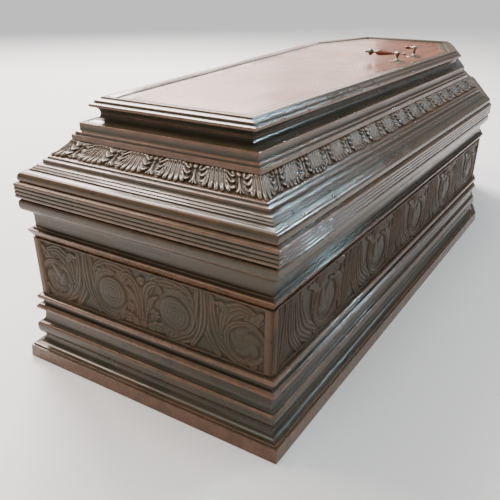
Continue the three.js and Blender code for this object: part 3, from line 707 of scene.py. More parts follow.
def grid_quads(rows, columns):
    """The number of each grid point, and the corners of each face between four of them."""
    number = np.arange(rows * columns).reshape(rows, columns)
    corners = [number[:-1, :-1], number[:-1, 1:], number[1:, 1:], number[1:, :-1]]
    return number, np.stack(corners, axis=-1).reshape(-1, 4)


def mean_near(height):
    """The mean height round each grid point."""
    rows, columns = height.shape
    padded = np.pad(height, 2, mode="edge")
    shifts = [(a, b) for a in (0, 2, 4) for b in (0, 2, 4)]
    return np.mean([padded[a : a + rows, b : b + columns] for a, b in shifts], axis=0)


def carved_face(side, across, up):
    """How far out each grid point of a board lies, with the relief in the field and a flat margin."""
    field_high = carved_head - carved_foot - 2 * FIELD_RAIL
    half = (side.length / 2 - FIELD_STILE) / field_high
    relief = carve(side, across / field_high, (up - carved_foot - FIELD_RAIL) / field_high, half)
    raised = FIELD_GROUND + (FIELD_TOP - FIELD_GROUND) * np.clip(relief.height, 0, 1)
    outset = BOARD_OUTSET - FIELD_DEPTH * (1 - raised)
    outset[:2, :] = outset[-2:, :] = BOARD_OUTSET
    outset[:, :2] = outset[:, -2:] = BOARD_OUTSET
    return outset


def carved_board(side):
    up = grid_lines(carved_foot, carved_head, FIELD_RAIL, FIELD_STEP)
    across = grid_lines(-side.length / 2, side.length / 2, FIELD_STILE, FIELD_STEP)
    outset = carved_face(side, across, up)
    rows, columns = outset.shape
    share = (across + side.length / 2) / side.length
    along = side.along(outset, share[None, :])
    front = side.place(along, outset, np.broadcast_to(up[:, None], outset.shape))
    number, quads = grid_quads(rows, columns)
    rim = np.concatenate([number[0, :-1], number[:-1, -1], number[-1, :0:-1], number[:0:-1, 0]])
    rim_share = np.tile(share, rows)[rim]
    rim_level = np.repeat(up, columns)[rim]
    rim_along = side.along(-WALL * MM, rim_share)
    back = side.place(rim_along, -WALL * MM, rim_level)
    first = rows * columns
    order = first + np.arange(len(rim))
    walls = np.stack([rim, order, np.roll(order, -1), np.roll(rim, -1)], axis=-1)
    faces = quads.tolist() + walls.tolist() + [order[::-1].tolist()]
    face_places = np.stack([along.ravel(), np.repeat(up, columns)], axis=1)
    back_places = np.stack([rim_along, rim_level + WALL * MM], axis=1)
    uv = np.vstack([face_places, back_places])[np.concatenate([quads.ravel(), walls.ravel(), order[::-1]])]
    # The nose mask later paints the tops of the relief paler: partly wear, partly a painted highlight.
    bulge = (outset - mean_near(outset)) / BULGE_FULL
    masks = nose_and_hollow(np.concatenate([bulge.ravel(), np.zeros(len(rim))]))
    smooth = np.arange(len(faces)) < len(quads)
    name = f"fine_carved_board_{side.name}"
    piece = finish_mesh(name, np.vstack([front, back]).tolist(), faces, uv, masks, smooth)
    return dress(piece, "coffin", "carved_wood", f"carved_board_{side.name}"), len(quads) * 2


for side in sides:
    board, triangles = carved_board(side)
    print(board.name, triangles, "triangles")

# %% [markdown]
# ## One leaf of the band
# The sloping band repeats one motif: a broad acanthus leaf whose lobes curl out at the bottom, and
# between every two leaves a small tongue with a hooked top and a spreading foot. The motif is made
# once, as a grid from the middle of one leaf to the middle of the next, so that two half leaves meet
# at every joint and the band wraps round the mitred corners as the real one does. Its x is the share
# of a pitch, its y the share of the rise, and its z how far it stands out, in metres.

# %% Model the repeated leaf
LEAF_STAND = 0.0098
LEAF_COLUMNS = 104
LEAF_ROWS = 40
BAND_BACK = -0.040
LEAF_PITCH_MM = 103.0
SLOPE_MM = 46.2
LEAF_NOSE = 5
LEAF_DUST_LEVEL = 0.75
LEAF_DUST_SLOPE = 2.2
RIBS = [
    ([(0, 43.5), (0, 24), (0, 4)], (4.6, 4.9)),
    ([(10.2, 43.5), (10.6, 25), (13.0, 5)], (4.4, 5.2)),
    ([(20.0, 42.5), (20.6, 26), (23.6, 13), (27.0, 6.5)], (4.0, 5.0)),
]
HOOKS = [
    [(22.5, 21), (28.0, 13.5), (34.0, 11.0), (39.0, 13.5)],
    [(22.5, 33), (28.5, 26.0), (34.5, 23.0), (40.0, 26.0)],
    [(23.5, 43), (30.0, 37.5), (36.0, 35.0), (40.5, 38.0), (38.0, 42.0)],
]
TONGUE_FEET = [[(51.5, 22), (51.5, 3.5)], [(51.2, 20), (49.5, 11), (44.5, 4.5)]]


def rib_height(x, y, path, widths):
    """A gouged rib: thin raised edges along a hollow, a bump at its head and a full toe at its foot."""
    signed, share = measure(bend(path), x, y)
    across = np.abs(signed) / np.interp(share, [0, 1], widths)
    ends = np.clip(np.maximum(0.16 - share, share - 0.76) / 0.16, 0, 1)
    gouge = 0.42 + 0.34 * np.clip(across / 0.75, 0, 1) ** 2
    toe = 0.70 + 0.30 * np.clip((share - 0.5) / 0.4, 0, 1)
    body = gouge * (1 - ends) + toe * ends
    return body * np.sqrt(np.clip(1 - across**4, 0, 1))


def round_stroke(x, y, path, wide, low, high):
    """A rounded stroke that climbs from low to high along its path."""
    signed, share = measure(bend(path), x, y)
    rise = low + (high - low) * share
    return rise * np.sqrt(np.clip(1 - (signed / (wide * (1.15 - 0.3 * share))) ** 2, 0, 1))


def leaf_height(u, v):
    """How far the motif stands out at a share of the pitch and a share of the slope, from 0 to 1."""
    x = np.minimum(u, 1 - u) * LEAF_PITCH_MM
    y = v * SLOPE_MM
    height = 0.26 * np.clip((30 - x - 0.12 * np.abs(y - 24)) / 3, 0, 1) * np.clip((y - 5) / 4, 0, 1)
    for path, widths in RIBS:
        height = np.maximum(height, rib_height(x, y, path, widths))
    for path in HOOKS:
        height = np.maximum(height, round_stroke(x, y, path, 3.3, 0.55, 1.0))
    for path in TONGUE_FEET:
        height = np.maximum(height, round_stroke(x, y, path, 2.9, 0.55, 0.85))
    stem = 0.55 * np.sqrt(np.clip(1 - ((x - 51.5) / 3.0) ** 2, 0, 1)) * (y > 16) * (y < 40)
    bud = 0.95 * np.sqrt(np.clip(1 - ((x - 51.5) / 6.2) ** 2 - ((y - 39.5) / 5.4) ** 2, 0, 1))
    return np.maximum(height, np.maximum(stem, bud))


def make_leaf():
    u = np.linspace(0, 1, LEAF_COLUMNS + 1)
    uu, vv = np.meshgrid(u, np.linspace(0, 1, LEAF_ROWS + 1))
    height = leaf_height(uu, vv)
    front = np.stack([uu.ravel(), vv.ravel(), (height * LEAF_STAND).ravel()], axis=1)
    back = np.array([(share, rise, BAND_BACK) for rise in (0, 1) for share in u])
    columns = LEAF_COLUMNS + 1
    faces = grid_quads(LEAF_ROWS + 1, columns)[1].tolist()
    for column in range(LEAF_COLUMNS):
        low, high = len(front) + column, len(front) + columns + column
        top = LEAF_ROWS * columns + column
        faces.append((low, low + 1, column + 1, column))
        faces.append((top, top + 1, high + 1, high))
        faces.append((high, high + 1, low + 1, low))
    # The nose mask paints the leaf ribs' tops paler, partly wear and mostly a painted highlight; the hollow
    # mask lays dust low in the relief.
    bulge = (height - mean_near(height)) * LEAF_NOSE
    hollow = LEAF_DUST_LEVEL - height * LEAF_DUST_SLOPE - bulge
    hidden = np.zeros(len(back))
    masks = {mask: np.concatenate([np.clip(values, 0, 1).ravel(), hidden])
             for mask, values in (("nose", bulge), ("hollow", hollow))}
    return finish_mesh("leaf_motif", np.vstack([front, back]).tolist(), faces, masks=masks)


leaf_motif = make_leaf()
print("leaf motif:", len(leaf_motif.data.polygons), "faces")

# %% [markdown]
# ## Repeating the leaf with Geometry Nodes
# The tree sets a row of points, one for each leaf, puts the motif on them and joins the copies. Then
# it bends the flat row into place: the share of the row becomes a distance along the side between the
# two mitres, which come closer together higher up the slope, and the rise becomes level and outset.
# The last nodes merge the motifs where they meet and put on the finish.
# The same tree serves all six sides with other numbers.

# %% Build the leaf band tree
BAND_FOOT_OUTSET = -0.058
BAND_HEAD_OUTSET = -0.092
LEAF_PITCH = LEAF_PITCH_MM * MM
MERGE_WITHIN = 0.00002
GRAIN_SLOPE = 1.4
BAND_INPUTS = [
    ("Leaf", "NodeSocketObject"), ("Leaves", "NodeSocketInt"), ("Side length", "NodeSocketFloat"),
    ("Start mitre", "NodeSocketFloat"), ("End mitre", "NodeSocketFloat"), ("Mitre gap", "NodeSocketFloat"),
    ("Foot outset", "NodeSocketFloat"), ("Head outset", "NodeSocketFloat"), ("Foot level", "NodeSocketFloat"),
    ("Rise", "NodeSocketFloat"), ("Middle", "NodeSocketVector"), ("Heading", "NodeSocketFloat"),
    ("Finish", "NodeSocketMaterial"),
]


class Tree:
    """Short words for building a node tree."""

    def __init__(self, tree):
        self.tree = tree

    def node(self, kind, feeds=None, **settings):
        """A node with its settings, and with each named socket joined to another or set."""
        node = self.tree.nodes.new(kind)
        for key, value in settings.items():
            setattr(node, key, value)
        for socket, value in (feeds or {}).items():
            self.feed(node.inputs[socket], value)
        return node

    def feed(self, socket, value):
        if isinstance(value, bpy.types.NodeSocket):
            self.tree.links.new(value, socket)
        else:
            socket.default_value = value

    def math(self, operation, *values):
        return self.node("ShaderNodeMath", dict(enumerate(values)), operation=operation).outputs[0]


def band_tree():
    group = bpy.data.node_groups.new("leaf_band", "GeometryNodeTree")
    for name, kind in BAND_INPUTS:
        group.interface.new_socket(name, in_out="INPUT", socket_type=kind)
    group.interface.new_socket("Band", in_out="OUTPUT", socket_type="NodeSocketGeometry")
    t = Tree(group)
    given = t.node("NodeGroupInput").outputs
    row = t.node("GeometryNodeMeshLine", {"Count": given["Leaves"], "Offset": (1, 0, 0)}, mode="OFFSET")
    motif = t.node("GeometryNodeObjectInfo", {"Object": given["Leaf"]}).outputs["Geometry"]
    copies = t.node("GeometryNodeInstanceOnPoints", {"Points": row.outputs["Mesh"], "Instance": motif})
    real = t.node("GeometryNodeRealizeInstances", {"Geometry": copies.outputs["Instances"]})
    place = t.node("ShaderNodeSeparateXYZ", {0: t.node("GeometryNodeInputPosition").outputs[0]}).outputs
    share = t.math("DIVIDE", place["X"], given["Leaves"])
    slope = t.math("SUBTRACT", given["Head outset"], given["Foot outset"])
    ground = t.math("MULTIPLY_ADD", place["Y"], slope, given["Foot outset"])
    outset = t.math("ADD", ground, place["Z"])
    half = t.math("MULTIPLY", given["Side length"], 0.5)
    start = t.math("SUBTRACT", given["Mitre gap"], t.math("MULTIPLY_ADD", outset, given["Start mitre"], half))
    end = t.math("SUBTRACT", t.math("MULTIPLY_ADD", outset, given["End mitre"], half), given["Mitre gap"])
    along = t.math("MULTIPLY_ADD", t.math("SUBTRACT", end, start), share, start)
    level = t.math("MULTIPLY_ADD", place["Y"], given["Rise"], given["Foot level"])
    flipped = t.math("MULTIPLY", outset, -1.0)
    shaped = t.node("ShaderNodeCombineXYZ", {"X": along, "Y": flipped, "Z": level})
    turn = t.node("ShaderNodeCombineXYZ", {"Z": given["Heading"]})
    last = real
    for kind, feeds in (
        ("GeometryNodeSetPosition", {"Position": shaped.outputs[0]}),
        ("GeometryNodeTransform", {"Translation": given["Middle"], "Rotation": turn.outputs[0]}),
        ("GeometryNodeMergeByDistance", {"Distance": MERGE_WITHIN}),
        ("GeometryNodeSetMaterial", {"Material": given["Finish"]}),
    ):
        last = t.node(kind, {"Geometry": last.outputs[0], **feeds})
    t.node("NodeGroupOutput", {0: last.outputs[0]})
    return group


leaf_band_tree = band_tree()
leaf_finish = bpy.data.materials.new("leaf_band_walnut")
print("leaf band tree:", len(leaf_band_tree.nodes), "nodes")

# %% [markdown]
# ## Laying the band
# The tree runs once for each side on an empty mesh, and what it makes becomes the piece's own mesh,
# so no modifier is left. The row is open at its two mitres, where nothing shows once the neighbour
# lies against it, but one piece is one solid, so both ends are filled. A UV map in metres then carries
# the grain along the band.

# %% Lay the leaf band on each side
def apply_modifiers(piece):
    """Swaps a piece's mesh for what its modifiers make of it."""
    evaluated = piece.evaluated_get(bpy.context.evaluated_depsgraph_get())
    mesh = bpy.data.meshes.new_from_object(evaluated)
    piece.modifiers.clear()
    piece.data = mesh


def mesh_from_tree(tree, name, values):
    """Runs a tree on an empty mesh and returns the result as a plain mesh object."""
    holder = put_in_scene(name, bpy.data.meshes.new(name))
    modifier = holder.modifiers.new("tree", "NODES")
    modifier.node_group = tree
    for item in tree.interface.items_tree:
        if item.item_type == "SOCKET" and item.in_out == "INPUT":
            modifier[item.identifier] = values[item.name]
    apply_modifiers(holder)
    return holder


def close_ends(piece):
    """Fills the open mitred ends and turns every face outwards."""
    mesh = bmesh.new()
    mesh.from_mesh(piece.data)
    open_edges = [edge for edge in mesh.edges if edge.is_boundary]
    bmesh.ops.holes_fill(mesh, edges=open_edges, sides=0)
    bmesh.ops.recalc_face_normals(mesh, faces=mesh.faces)
    for face in mesh.faces:
        face.smooth = len(face.verts) < 5
    mesh.to_mesh(piece.data)
    mesh.free()


def lay_grain(piece, side):
    """A UV map in metres along the side and up its slope."""
    mesh = piece.data
    points = np.empty(len(mesh.vertices) * 3, dtype=np.float32)
    mesh.vertices.foreach_get("co", points)
    points = points.reshape(-1, 3)
    x, y = points[:, 0] - side.middle.x, points[:, 1] - side.middle.y
    along = x * math.cos(side.heading) + y * math.sin(side.heading)
    corner = np.empty(len(mesh.loops), dtype=np.int32)
    mesh.loops.foreach_get("vertex_index", corner)
    uv = np.stack([along, points[:, 2] * GRAIN_SLOPE], axis=1)[corner]
    mesh.uv_layers.new(name="grain").data.foreach_set("uv", uv.astype(np.float32).ravel())


for side in sides:
    middle_outset = (BAND_FOOT_OUTSET + BAND_HEAD_OUTSET) / 2
    long = side.along(middle_outset, 1) - side.along(middle_outset, 0)
    band = mesh_from_tree(leaf_band_tree, f"fine_leaf_band_{side.name}", {
        "Leaf": leaf_motif,
        "Leaves": max(1, round(long / LEAF_PITCH)),
        "Side length": side.length,
        "Start mitre": side.start_mitre,
        "End mitre": side.end_mitre,
        "Mitre gap": MITRE_GAP,
        "Foot outset": BAND_FOOT_OUTSET,
        "Head outset": BAND_HEAD_OUTSET,
        "Foot level": band_foot,
        "Rise": band_head - band_foot,
        "Middle": (side.middle.x, side.middle.y, 0.0),
        "Heading": side.heading,
        "Finish": leaf_finish,
    })
    close_ends(band)
    lay_grain(band, side)
    dress(band, "coffin", "carved_wood", f"leaf_band_{side.name}")
    print(band.name, len(band.data.polygons), "faces")
bpy.data.objects.remove(leaf_motif)

# %% [markdown]
# ## The two levers
# Each fitting is a cast rose with an upright spindle, a cross arm and a turned wooden grip. All of it
# is round, so each part is a profile spun about its own axis. A few chosen radii are joined by smooth
# curves where the lathe would leave a bulge, and kept sharp where it would leave a bead's edge.

# %% Turn the levers
TURN_STEPS = 40
EDGE_ANGLE = math.radians(38)
joint_places = {joint["name"]: joint["pos_m"] for joint in frame["joints"]}


def turned(name, pairs, place, direction):
    """Spins pairs of radius and distance, in millimetres, about an axis from a place."""
    axis = Vector(direction).normalized()
    across = axis.orthogonal().normalized()
    other = axis.cross(across)
    angles = np.linspace(0, 2 * math.pi, TURN_STEPS, endpoint=False)
    mesh = bmesh.new()
    rings = []
    for radius, distance in np.array(pairs, float) * MM:
        centre = Vector(place) + axis * distance
        count = TURN_STEPS if radius > SAME_PLACE else 1
        spokes = [across * math.cos(a) + other * math.sin(a) for a in angles[:count]]
        rings.append([mesh.verts.new(centre + spoke * radius) for spoke in spokes])
    for lower, upper in zip(rings[:-1], rings[1:]):
        for k in range(TURN_STEPS):
            order = ((lower, k), (lower, k + 1), (upper, k + 1), (upper, k))
            corners = dict.fromkeys(ring[n % len(ring)] for ring, n in order)
            if len(corners) > 2:
                mesh.faces.new(list(corners))
    bmesh.ops.recalc_face_normals(mesh, faces=mesh.faces)
    for face in mesh.faces:
        face.smooth = True
    for edge in mesh.edges:
        if len(edge.link_faces) == 2 and edge.calc_face_angle() > EDGE_ANGLE:
            edge.smooth = False
    data = bpy.data.meshes.new(name)
    mesh.to_mesh(data)
    mesh.free()
    return put_in_scene(name, data)


def ball(centre, radius, start=-90, end=90, count=9):
    angles = np.radians(np.linspace(start, end, count))
    return [(radius * math.cos(a), centre + radius * math.sin(a)) for a in angles]


def smooth_turning(pairs, count=28):
    return [tuple(point) for point in bend(pairs, count)]


ROSE_HIGH = 5
ROSE = [(0, 0), (24.4, 0), (24.4, 1.2), (23.6, 2.0), (21.8, 2.1), (20.3, 2.9), (17, 3.9), (13, 4.4),
        (11, 4.5), (10.3, ROSE_HIGH), (0, ROSE_HIGH)]
SPINDLE_FOOT = [(0, 5.3), (8.4, 5.3), (8.4, 6.2), (7.5, 7.2), (5.4, 8.6), (4.1, 10.4), (3.5, 12.0),
                (3.5, 12.5), (4.6, 13.1), (4.6, 13.9), (3.5, 14.5)]
VASE_SWELL = [(3.6, 15.0), (4.9, 18.4), (6.6, 22.6), (7.1, 26.0), (5.9, 30.0), (2.6, 32.6)]
VASE_HUB = [*smooth_turning(VASE_SWELL, 24), (0, 33.1)]
BALL_HUB = [*smooth_turning([(3.6, 15.0), (4.4, 18.0), (3.7, 22.2)], 8), *ball(29.7, 7.6, -58, 90, 12)]
LONG_ARM_LEVEL = 26.0
SHORT_ARM_LEVEL = 29.7
LONG_ARM = [(0, -27.7), *ball(-23.3, 4.4, -80, 60, 8), (1.9, -18.9), (1.7, -17), (2.4, -9), (3.4, 0),
            (3.4, 13), (4.8, 14.2), (4.9, 15.4), (4.8, 16.6), (4.2, 17.5), (0, 17.5)]
LONG_SWELL = [(4.8, 18.2), (5.6, 26), (6.8, 35), (8.8, 48), (9.6, 56), (9.1, 64), (7.0, 70.5), (4.5, 73.7)]
LONG_GRIP = [(0, 17.8), (4.6, 17.8), *smooth_turning(LONG_SWELL), (0, 73.8)]
CAP_SWELL = [(3.4, 80.8), (8.0, 85.5), (11.4, 89.6), (12, 91.6), (11.4, 93.6), (8, 97.6), (3.0, 102.6)]
LONG_CAP = [(0, 74.1), (3.4, 74.1), (4.2, 75.2), (3.2, 76.4), (3.0, 80.0), *smooth_turning(CAP_SWELL, 22),
            *ball(107.0, 4.4, -45, 90, 9)]
SHORT_ARM = [(0, 0), (3.4, 0), (3.4, 12.2), (4.6, 13.2), (4.8, 14.6), (4.2, 16), (0, 16)]
SHORT_SWELL = [(3.4, 16.6), (5.0, 21), (5.4, 25), (4.6, 30), (2.2, 35.2)]
SHORT_GRIP = [(0, 16.3), (3.4, 16.3), *smooth_turning(SHORT_SWELL, 20), (0, 36.7)]


def join_pieces(name, pieces):
    """Unites overlapping metal parts into one casting."""
    first = pieces[0]
    for other in pieces[1:]:
        union = first.modifiers.new("cast together", "BOOLEAN")
        union.operation = "UNION"
        union.solver = "EXACT"
        union.object = other
    apply_modifiers(first)
    first.name = name
    for other in pieces[1:]:
        bpy.data.objects.remove(other)
    return first


def make_lever(which, hub, arm, arm_level, grip, cap=None):
    place = Vector(joint_places[f"{which}_lever_turn"])
    place.z = panel_head
    arm_place = place + Vector((0, 0, arm_level * MM))
    outward = (-1, 0, 0)
    rose = turned(f"fine_{which}_lever_rose", ROSE, place, (0, 0, 1))
    dress(rose, "coffin", "bronze", f"{which}_lever_rose")
    post = turned(f"{which}_post", SPINDLE_FOOT + hub, place, (0, 0, 1))
    cross = turned(f"{which}_cross", arm, arm_place, outward)
    metal = join_pieces(f"fine_{which}_lever_spindle", [post, cross])
    dress(metal, f"{which}_lever", "bronze", f"{which}_lever_spindle_and_arm")
    wood = turned(f"fine_{which}_lever_grip", grip, arm_place, outward)
    dress(wood, f"{which}_lever", "grip_wood", f"{which}_lever_grip")
    if cap:
        end = turned(f"fine_{which}_lever_cap", cap, arm_place, outward)
        dress(end, f"{which}_lever", "bronze", f"{which}_lever_end_cap")


make_lever("long", VASE_HUB, LONG_ARM, LONG_ARM_LEVEL, LONG_GRIP, LONG_CAP)
make_lever("short", BALL_HUB, SHORT_ARM, SHORT_ARM_LEVEL, SHORT_GRIP)
print("dressed pieces:", len(dressed))

# %% [markdown]
# ## Shared effects
# Two effects serve several finishes, so each is a node group. Grain is noise stretched along the
# wood. Wear reads the masks that the meshes carry: noses turn paler, partly rubbed and partly a painted
# highlight, and hollows keep polish and dust.
# The groups give only masks and heights; each material keeps its own shader and colours.

# %% Build the effect groups
def new_group(name, inputs, outputs):
    """An empty shader group, with its builder and the sockets that it is given."""
    group = bpy.data.node_groups.new(name, "ShaderNodeTree")
    for socket, kind in inputs:
        group.interface.new_socket(socket, in_out="INPUT", socket_type=kind)
    for socket in outputs:
        group.interface.new_socket(socket, in_out="OUTPUT", socket_type="NodeSocketFloat")
    t = Tree(group)
    return group, t, t.node("NodeGroupInput").outputs


def noise(t, vector, scale, detail=3.0, roughness=0.6, distortion=0.0):
    feeds = {"Vector": vector, "Scale": scale, "Detail": detail, "Roughness": roughness}
    return t.node("ShaderNodeTexNoise", {**feeds, "Distortion": distortion}).outputs[0]


def stretched_noise(t, vector, scale, **look):
    mapping = t.node("ShaderNodeMapping", {"Vector": vector, "Scale": scale})
    return noise(t, mapping.outputs[0], 1.0, **look)


def limits(t, value, low, high):
    feeds = {"Value": value, "From Min": low, "From Max": high}
    return t.node("ShaderNodeMapRange", feeds, interpolation_type="SMOOTHSTEP").outputs[0]


def grain_group():
    """Figure, pores and a bump height from a vector whose x runs along the grain."""
    inputs = [("Vector", "NodeSocketVector")]
    group, t, given = new_group("long_grain", inputs, ("Figure", "Pores", "Height"))
    broad = stretched_noise(t, given["Vector"], (1.6, 26, 26), detail=4.0, distortion=0.6)
    fine = stretched_noise(t, given["Vector"], (7, 190, 190))
    pores = stretched_noise(t, given["Vector"], (28, 900, 900), detail=2.0, roughness=0.5)
    figure = t.math("ADD", t.math("MULTIPLY", broad, 0.62), t.math("MULTIPLY", fine, 0.38))
    t.node("NodeGroupOutput", {
        "Figure": limits(t, figure, 0.36, 0.64),
        "Pores": limits(t, pores, 0.56, 0.70),
        "Height": t.math("SUBTRACT", t.math("MULTIPLY", fine, 0.4), t.math("MULTIPLY", pores, 0.6)),
    })
    return group


def wear_and_highlight_group():
    """Paler noses, partly rubbed and partly a painted highlight, and dusty hollows, broken up by noise."""
    inputs = [("Vector", "NodeSocketVector"), ("Nose", "NodeSocketFloat"), ("Hollow", "NodeSocketFloat")]
    group, t, given = new_group("rub_and_dust", inputs, ("Rubbed", "Dust", "Smudge"))
    broken = limits(t, noise(t, given["Vector"], 38, detail=4.0, roughness=0.65), 0.38, 0.66)
    clouds = noise(t, given["Vector"], 7)
    nose = limits(t, given["Nose"], 0.15, 0.95)
    hollow = limits(t, given["Hollow"], 0.1, 0.9)
    t.node("NodeGroupOutput", {
        # The first mask brightens noses, partly for wear and partly as a painted highlight.
        "Rubbed": t.math("MULTIPLY", nose, t.math("MULTIPLY_ADD", broken, 0.45, 0.5)),
        "Dust": t.math("MULTIPLY", hollow, t.math("MULTIPLY_ADD", clouds, 0.9, 0.3)),
        "Smudge": limits(t, clouds, 0.35, 0.68),
    })
    return group


long_grain = grain_group()
rub_and_dust = wear_and_highlight_group()
print("effect groups:", long_grain.name, rub_and_dust.name)

# %% [markdown]
# ## Polished wood
# The case is dark walnut-brown under a glossy varnish. The brown is nearly black where the figure is
# dense, red-brown where it opens, and paler on noses, where rubbed varnish and a painted highlight
# both lighten it. A thin clear coat gives the sharp highlight, and the wood below it keeps a softer one.
# The carved parts are the same wood with less shine and more dark in the hollows.

# %% Mix the wood finishes
SMUDGE_WARMTH = 0.35
PORE_STRENGTH = 0.5
SMUDGE_ROUGHNESS = 0.10
DUST_ROUGHNESS = 0.25
GRAIN_DEPTH = 0.0006
LOOK_SOCKETS = {"Coat Weight": "coat", "Coat Roughness": "coat_rough", "Specular Tint": "tint",
                "Specular IOR Level": "specular"}


def colour_mix(t, factor, first, second):
    feeds = {"Factor": factor, "A": first, "B": second}
    return t.node("ShaderNodeMix", feeds, data_type="RGBA").outputs["Result"]


def rgba(red, green, blue):
    return (red, green, blue, 1.0)


def start_material(material):
    """Empties a material's tree and gives it one shader."""
    material.use_nodes = True
    material.node_tree.nodes.clear()
    t = Tree(material.node_tree)
    shader = t.node("ShaderNodeBsdfPrincipled")
    t.node("ShaderNodeOutputMaterial", {"Surface": shader.outputs[0]})
    return t, shader.inputs


def add_bump(t, shader, height, strength, depth):
    bump = t.node("ShaderNodeBump", {"Strength": strength, "Distance": depth, "Height": height})
    t.feed(shader["Normal"], bump.outputs[0])


def lengthwise(t, where):
    """Object coordinates with y first, for boards whose grain runs along y."""
    parts = t.node("ShaderNodeSeparateXYZ", {0: where}).outputs
    return t.node("ShaderNodeCombineXYZ", {"X": parts["Y"], "Y": parts["X"], "Z": parts["Z"]}).outputs[0]


def wood_finish(material, look, grain_from):
    t, shader = start_material(material)
    where = t.node("ShaderNodeTexCoord").outputs["Object"]
    masks = {}
    if grain_from == "uv":
        vector = t.node("ShaderNodeUVMap", uv_map="grain").outputs[0]
        for mask in ("Nose", "Hollow"):
            masks[mask] = t.node("ShaderNodeAttribute", attribute_name=mask.lower()).outputs["Fac"]
    else:
        vector = lengthwise(t, where)
    grain = t.node("ShaderNodeGroup", {"Vector": vector}, node_tree=long_grain).outputs
    wear_and_highlight = t.node("ShaderNodeGroup", {"Vector": where, **masks}, node_tree=rub_and_dust).outputs
    colour = colour_mix(t, grain["Figure"], look["dark"], look["open"])
    # Noses are painted paler here: partly rubbed varnish, partly a painted highlight.
    for mask, strength, layer in (
        (wear_and_highlight["Smudge"], SMUDGE_WARMTH, "warm"),
        (grain["Pores"], PORE_STRENGTH, "pore"),
        (wear_and_highlight["Rubbed"], look["rub_and_highlight_mix"], "rubbed_and_highlight"),
        (wear_and_highlight["Dust"], look["dirt"], "dusty"),
    ):
        colour = colour_mix(t, t.math("MULTIPLY", mask, strength), colour, look[layer])
    t.feed(shader["Base Color"], colour)
    rough = t.math("MULTIPLY_ADD", wear_and_highlight["Smudge"], SMUDGE_ROUGHNESS, look["rough"])
    t.feed(shader["Roughness"], t.math("MULTIPLY_ADD", wear_and_highlight["Dust"], DUST_ROUGHNESS, rough))
    for socket, key in LOOK_SOCKETS.items():
        shader[socket].default_value = look[key]
    add_bump(t, shader, grain["Height"], look["bump"], GRAIN_DEPTH)
    return material


# The rubbed colour on noses is partly worn varnish and partly a painted highlight: a red-brown glow on the
# torus and a bright line along sharp noses.
WALNUT = {
    "dark": rgba(0.018, 0.017, 0.010), "open": rgba(0.036, 0.030, 0.017), "warm": rgba(0.075, 0.038, 0.020),
    "pore": rgba(0.014, 0.011, 0.008), "rubbed_and_highlight": rgba(0.20, 0.088, 0.050), "dusty": rgba(0.024, 0.022, 0.017),
    "rub_and_highlight_mix": 0.55, "dirt": 0.2, "rough": 0.24, "coat": 0.20, "coat_rough": 0.06, "bump": 0.05,
    "specular": 0.28, "tint": rgba(1.0, 0.93, 0.86),
}
# Carved noses also take a paler colour, partly wear and partly a painted highlight on the tops of the relief.
CARVED = {
    **WALNUT, "rough": 0.46, "coat": 0.03, "coat_rough": 0.20, "rub_and_highlight_mix": 0.6, "dirt": 0.12, "specular": 0.22,
    "dark": rgba(0.024, 0.022, 0.014), "open": rgba(0.042, 0.034, 0.021), "warm": rgba(0.095, 0.043, 0.024),
    "rubbed_and_highlight": rgba(0.110, 0.055, 0.034),
}
# The pale pinkish rubbed colour on the leaf ribs is mostly a painted highlight on their tops, with some wear.
LEAVES = {
    **WALNUT, "rough": 0.22, "coat": 0.32, "coat_rough": 0.08, "rub_and_highlight_mix": 0.85, "dirt": 0.5, "specular": 0.42,
    "rubbed_and_highlight": rgba(0.26, 0.185, 0.140),
}
PANEL = {
    **WALNUT, "rough": 0.26, "coat": 0.16, "coat_rough": 0.08, "bump": 0.16, "specular": 0.42,
    "dark": rgba(0.075, 0.024, 0.011), "open": rgba(0.17, 0.056, 0.026), "warm": rgba(0.25, 0.082, 0.036),
    "pore": rgba(0.045, 0.016, 0.009),
}
PLAIN = {
    **WALNUT, "rough": 0.62, "coat": 0.0, "bump": 0.6, "pore": rgba(0.05, 0.03, 0.02),
    "dark": rgba(0.10, 0.062, 0.038), "open": rgba(0.20, 0.13, 0.08), "warm": rgba(0.18, 0.10, 0.06),
}
GRIP = {
    **WALNUT, "dark": rgba(0.060, 0.020, 0.012), "open": rgba(0.18, 0.060, 0.030),
    "warm": rgba(0.22, 0.07, 0.035),
}

FINISHES = {}
for slot, name, look, grain_from in (
    ("polished_wood", "polished_walnut", WALNUT, "uv"),
    ("carved_wood", "carved_walnut", CARVED, "uv"),
    ("panel_wood", "lid_panel_veneer", PANEL, "object"),
    ("plain_wood", "plain_boards", PLAIN, "object"),
    ("grip_wood", "turned_grip_wood", GRIP, "object"),
):
    FINISHES[slot] = wood_finish(bpy.data.materials.new(name), look, grain_from)
wood_finish(leaf_finish, LEAVES, "uv")
print("wood finishes:", sorted(FINISHES))

# %% [markdown]
# ## Darkened bronze
# The castings are dark brown with paler patches where hands and cloths have rubbed them. The metal
# stays a metal all over; only its colour and roughness change.

# %% Mix the bronze
BRONZE_DARK = rgba(0.085, 0.066, 0.046)
BRONZE_WORN = rgba(0.34, 0.30, 0.25)
CAST_DEPTH = 0.0003


def bronze_finish():
    material = bpy.data.materials.new("darkened_bronze")
    t, shader = start_material(material)
    where = t.node("ShaderNodeTexCoord").outputs["Object"]
    patches = limits(t, noise(t, where, 140, detail=4.0), 0.38, 0.66)
    fine = noise(t, where, 900)
    t.feed(shader["Base Color"], colour_mix(t, patches, BRONZE_DARK, BRONZE_WORN))
    shader["Metallic"].default_value = 1.0
    t.feed(shader["Roughness"], t.math("MULTIPLY_ADD", fine, 0.22, 0.22))
    add_bump(t, shader, fine, 0.2, CAST_DEPTH)
    return material


FINISHES["bronze"] = bronze_finish()
print("bronze ready")

# %% [markdown]
# ## Putting the finishes on
# Every dressed piece takes the finish of its slot, hides the imported solids it stands for and rides on
# its body. The lid panel and the bottom board are flat boards, right as they were imported, so they stay
# and only change material.

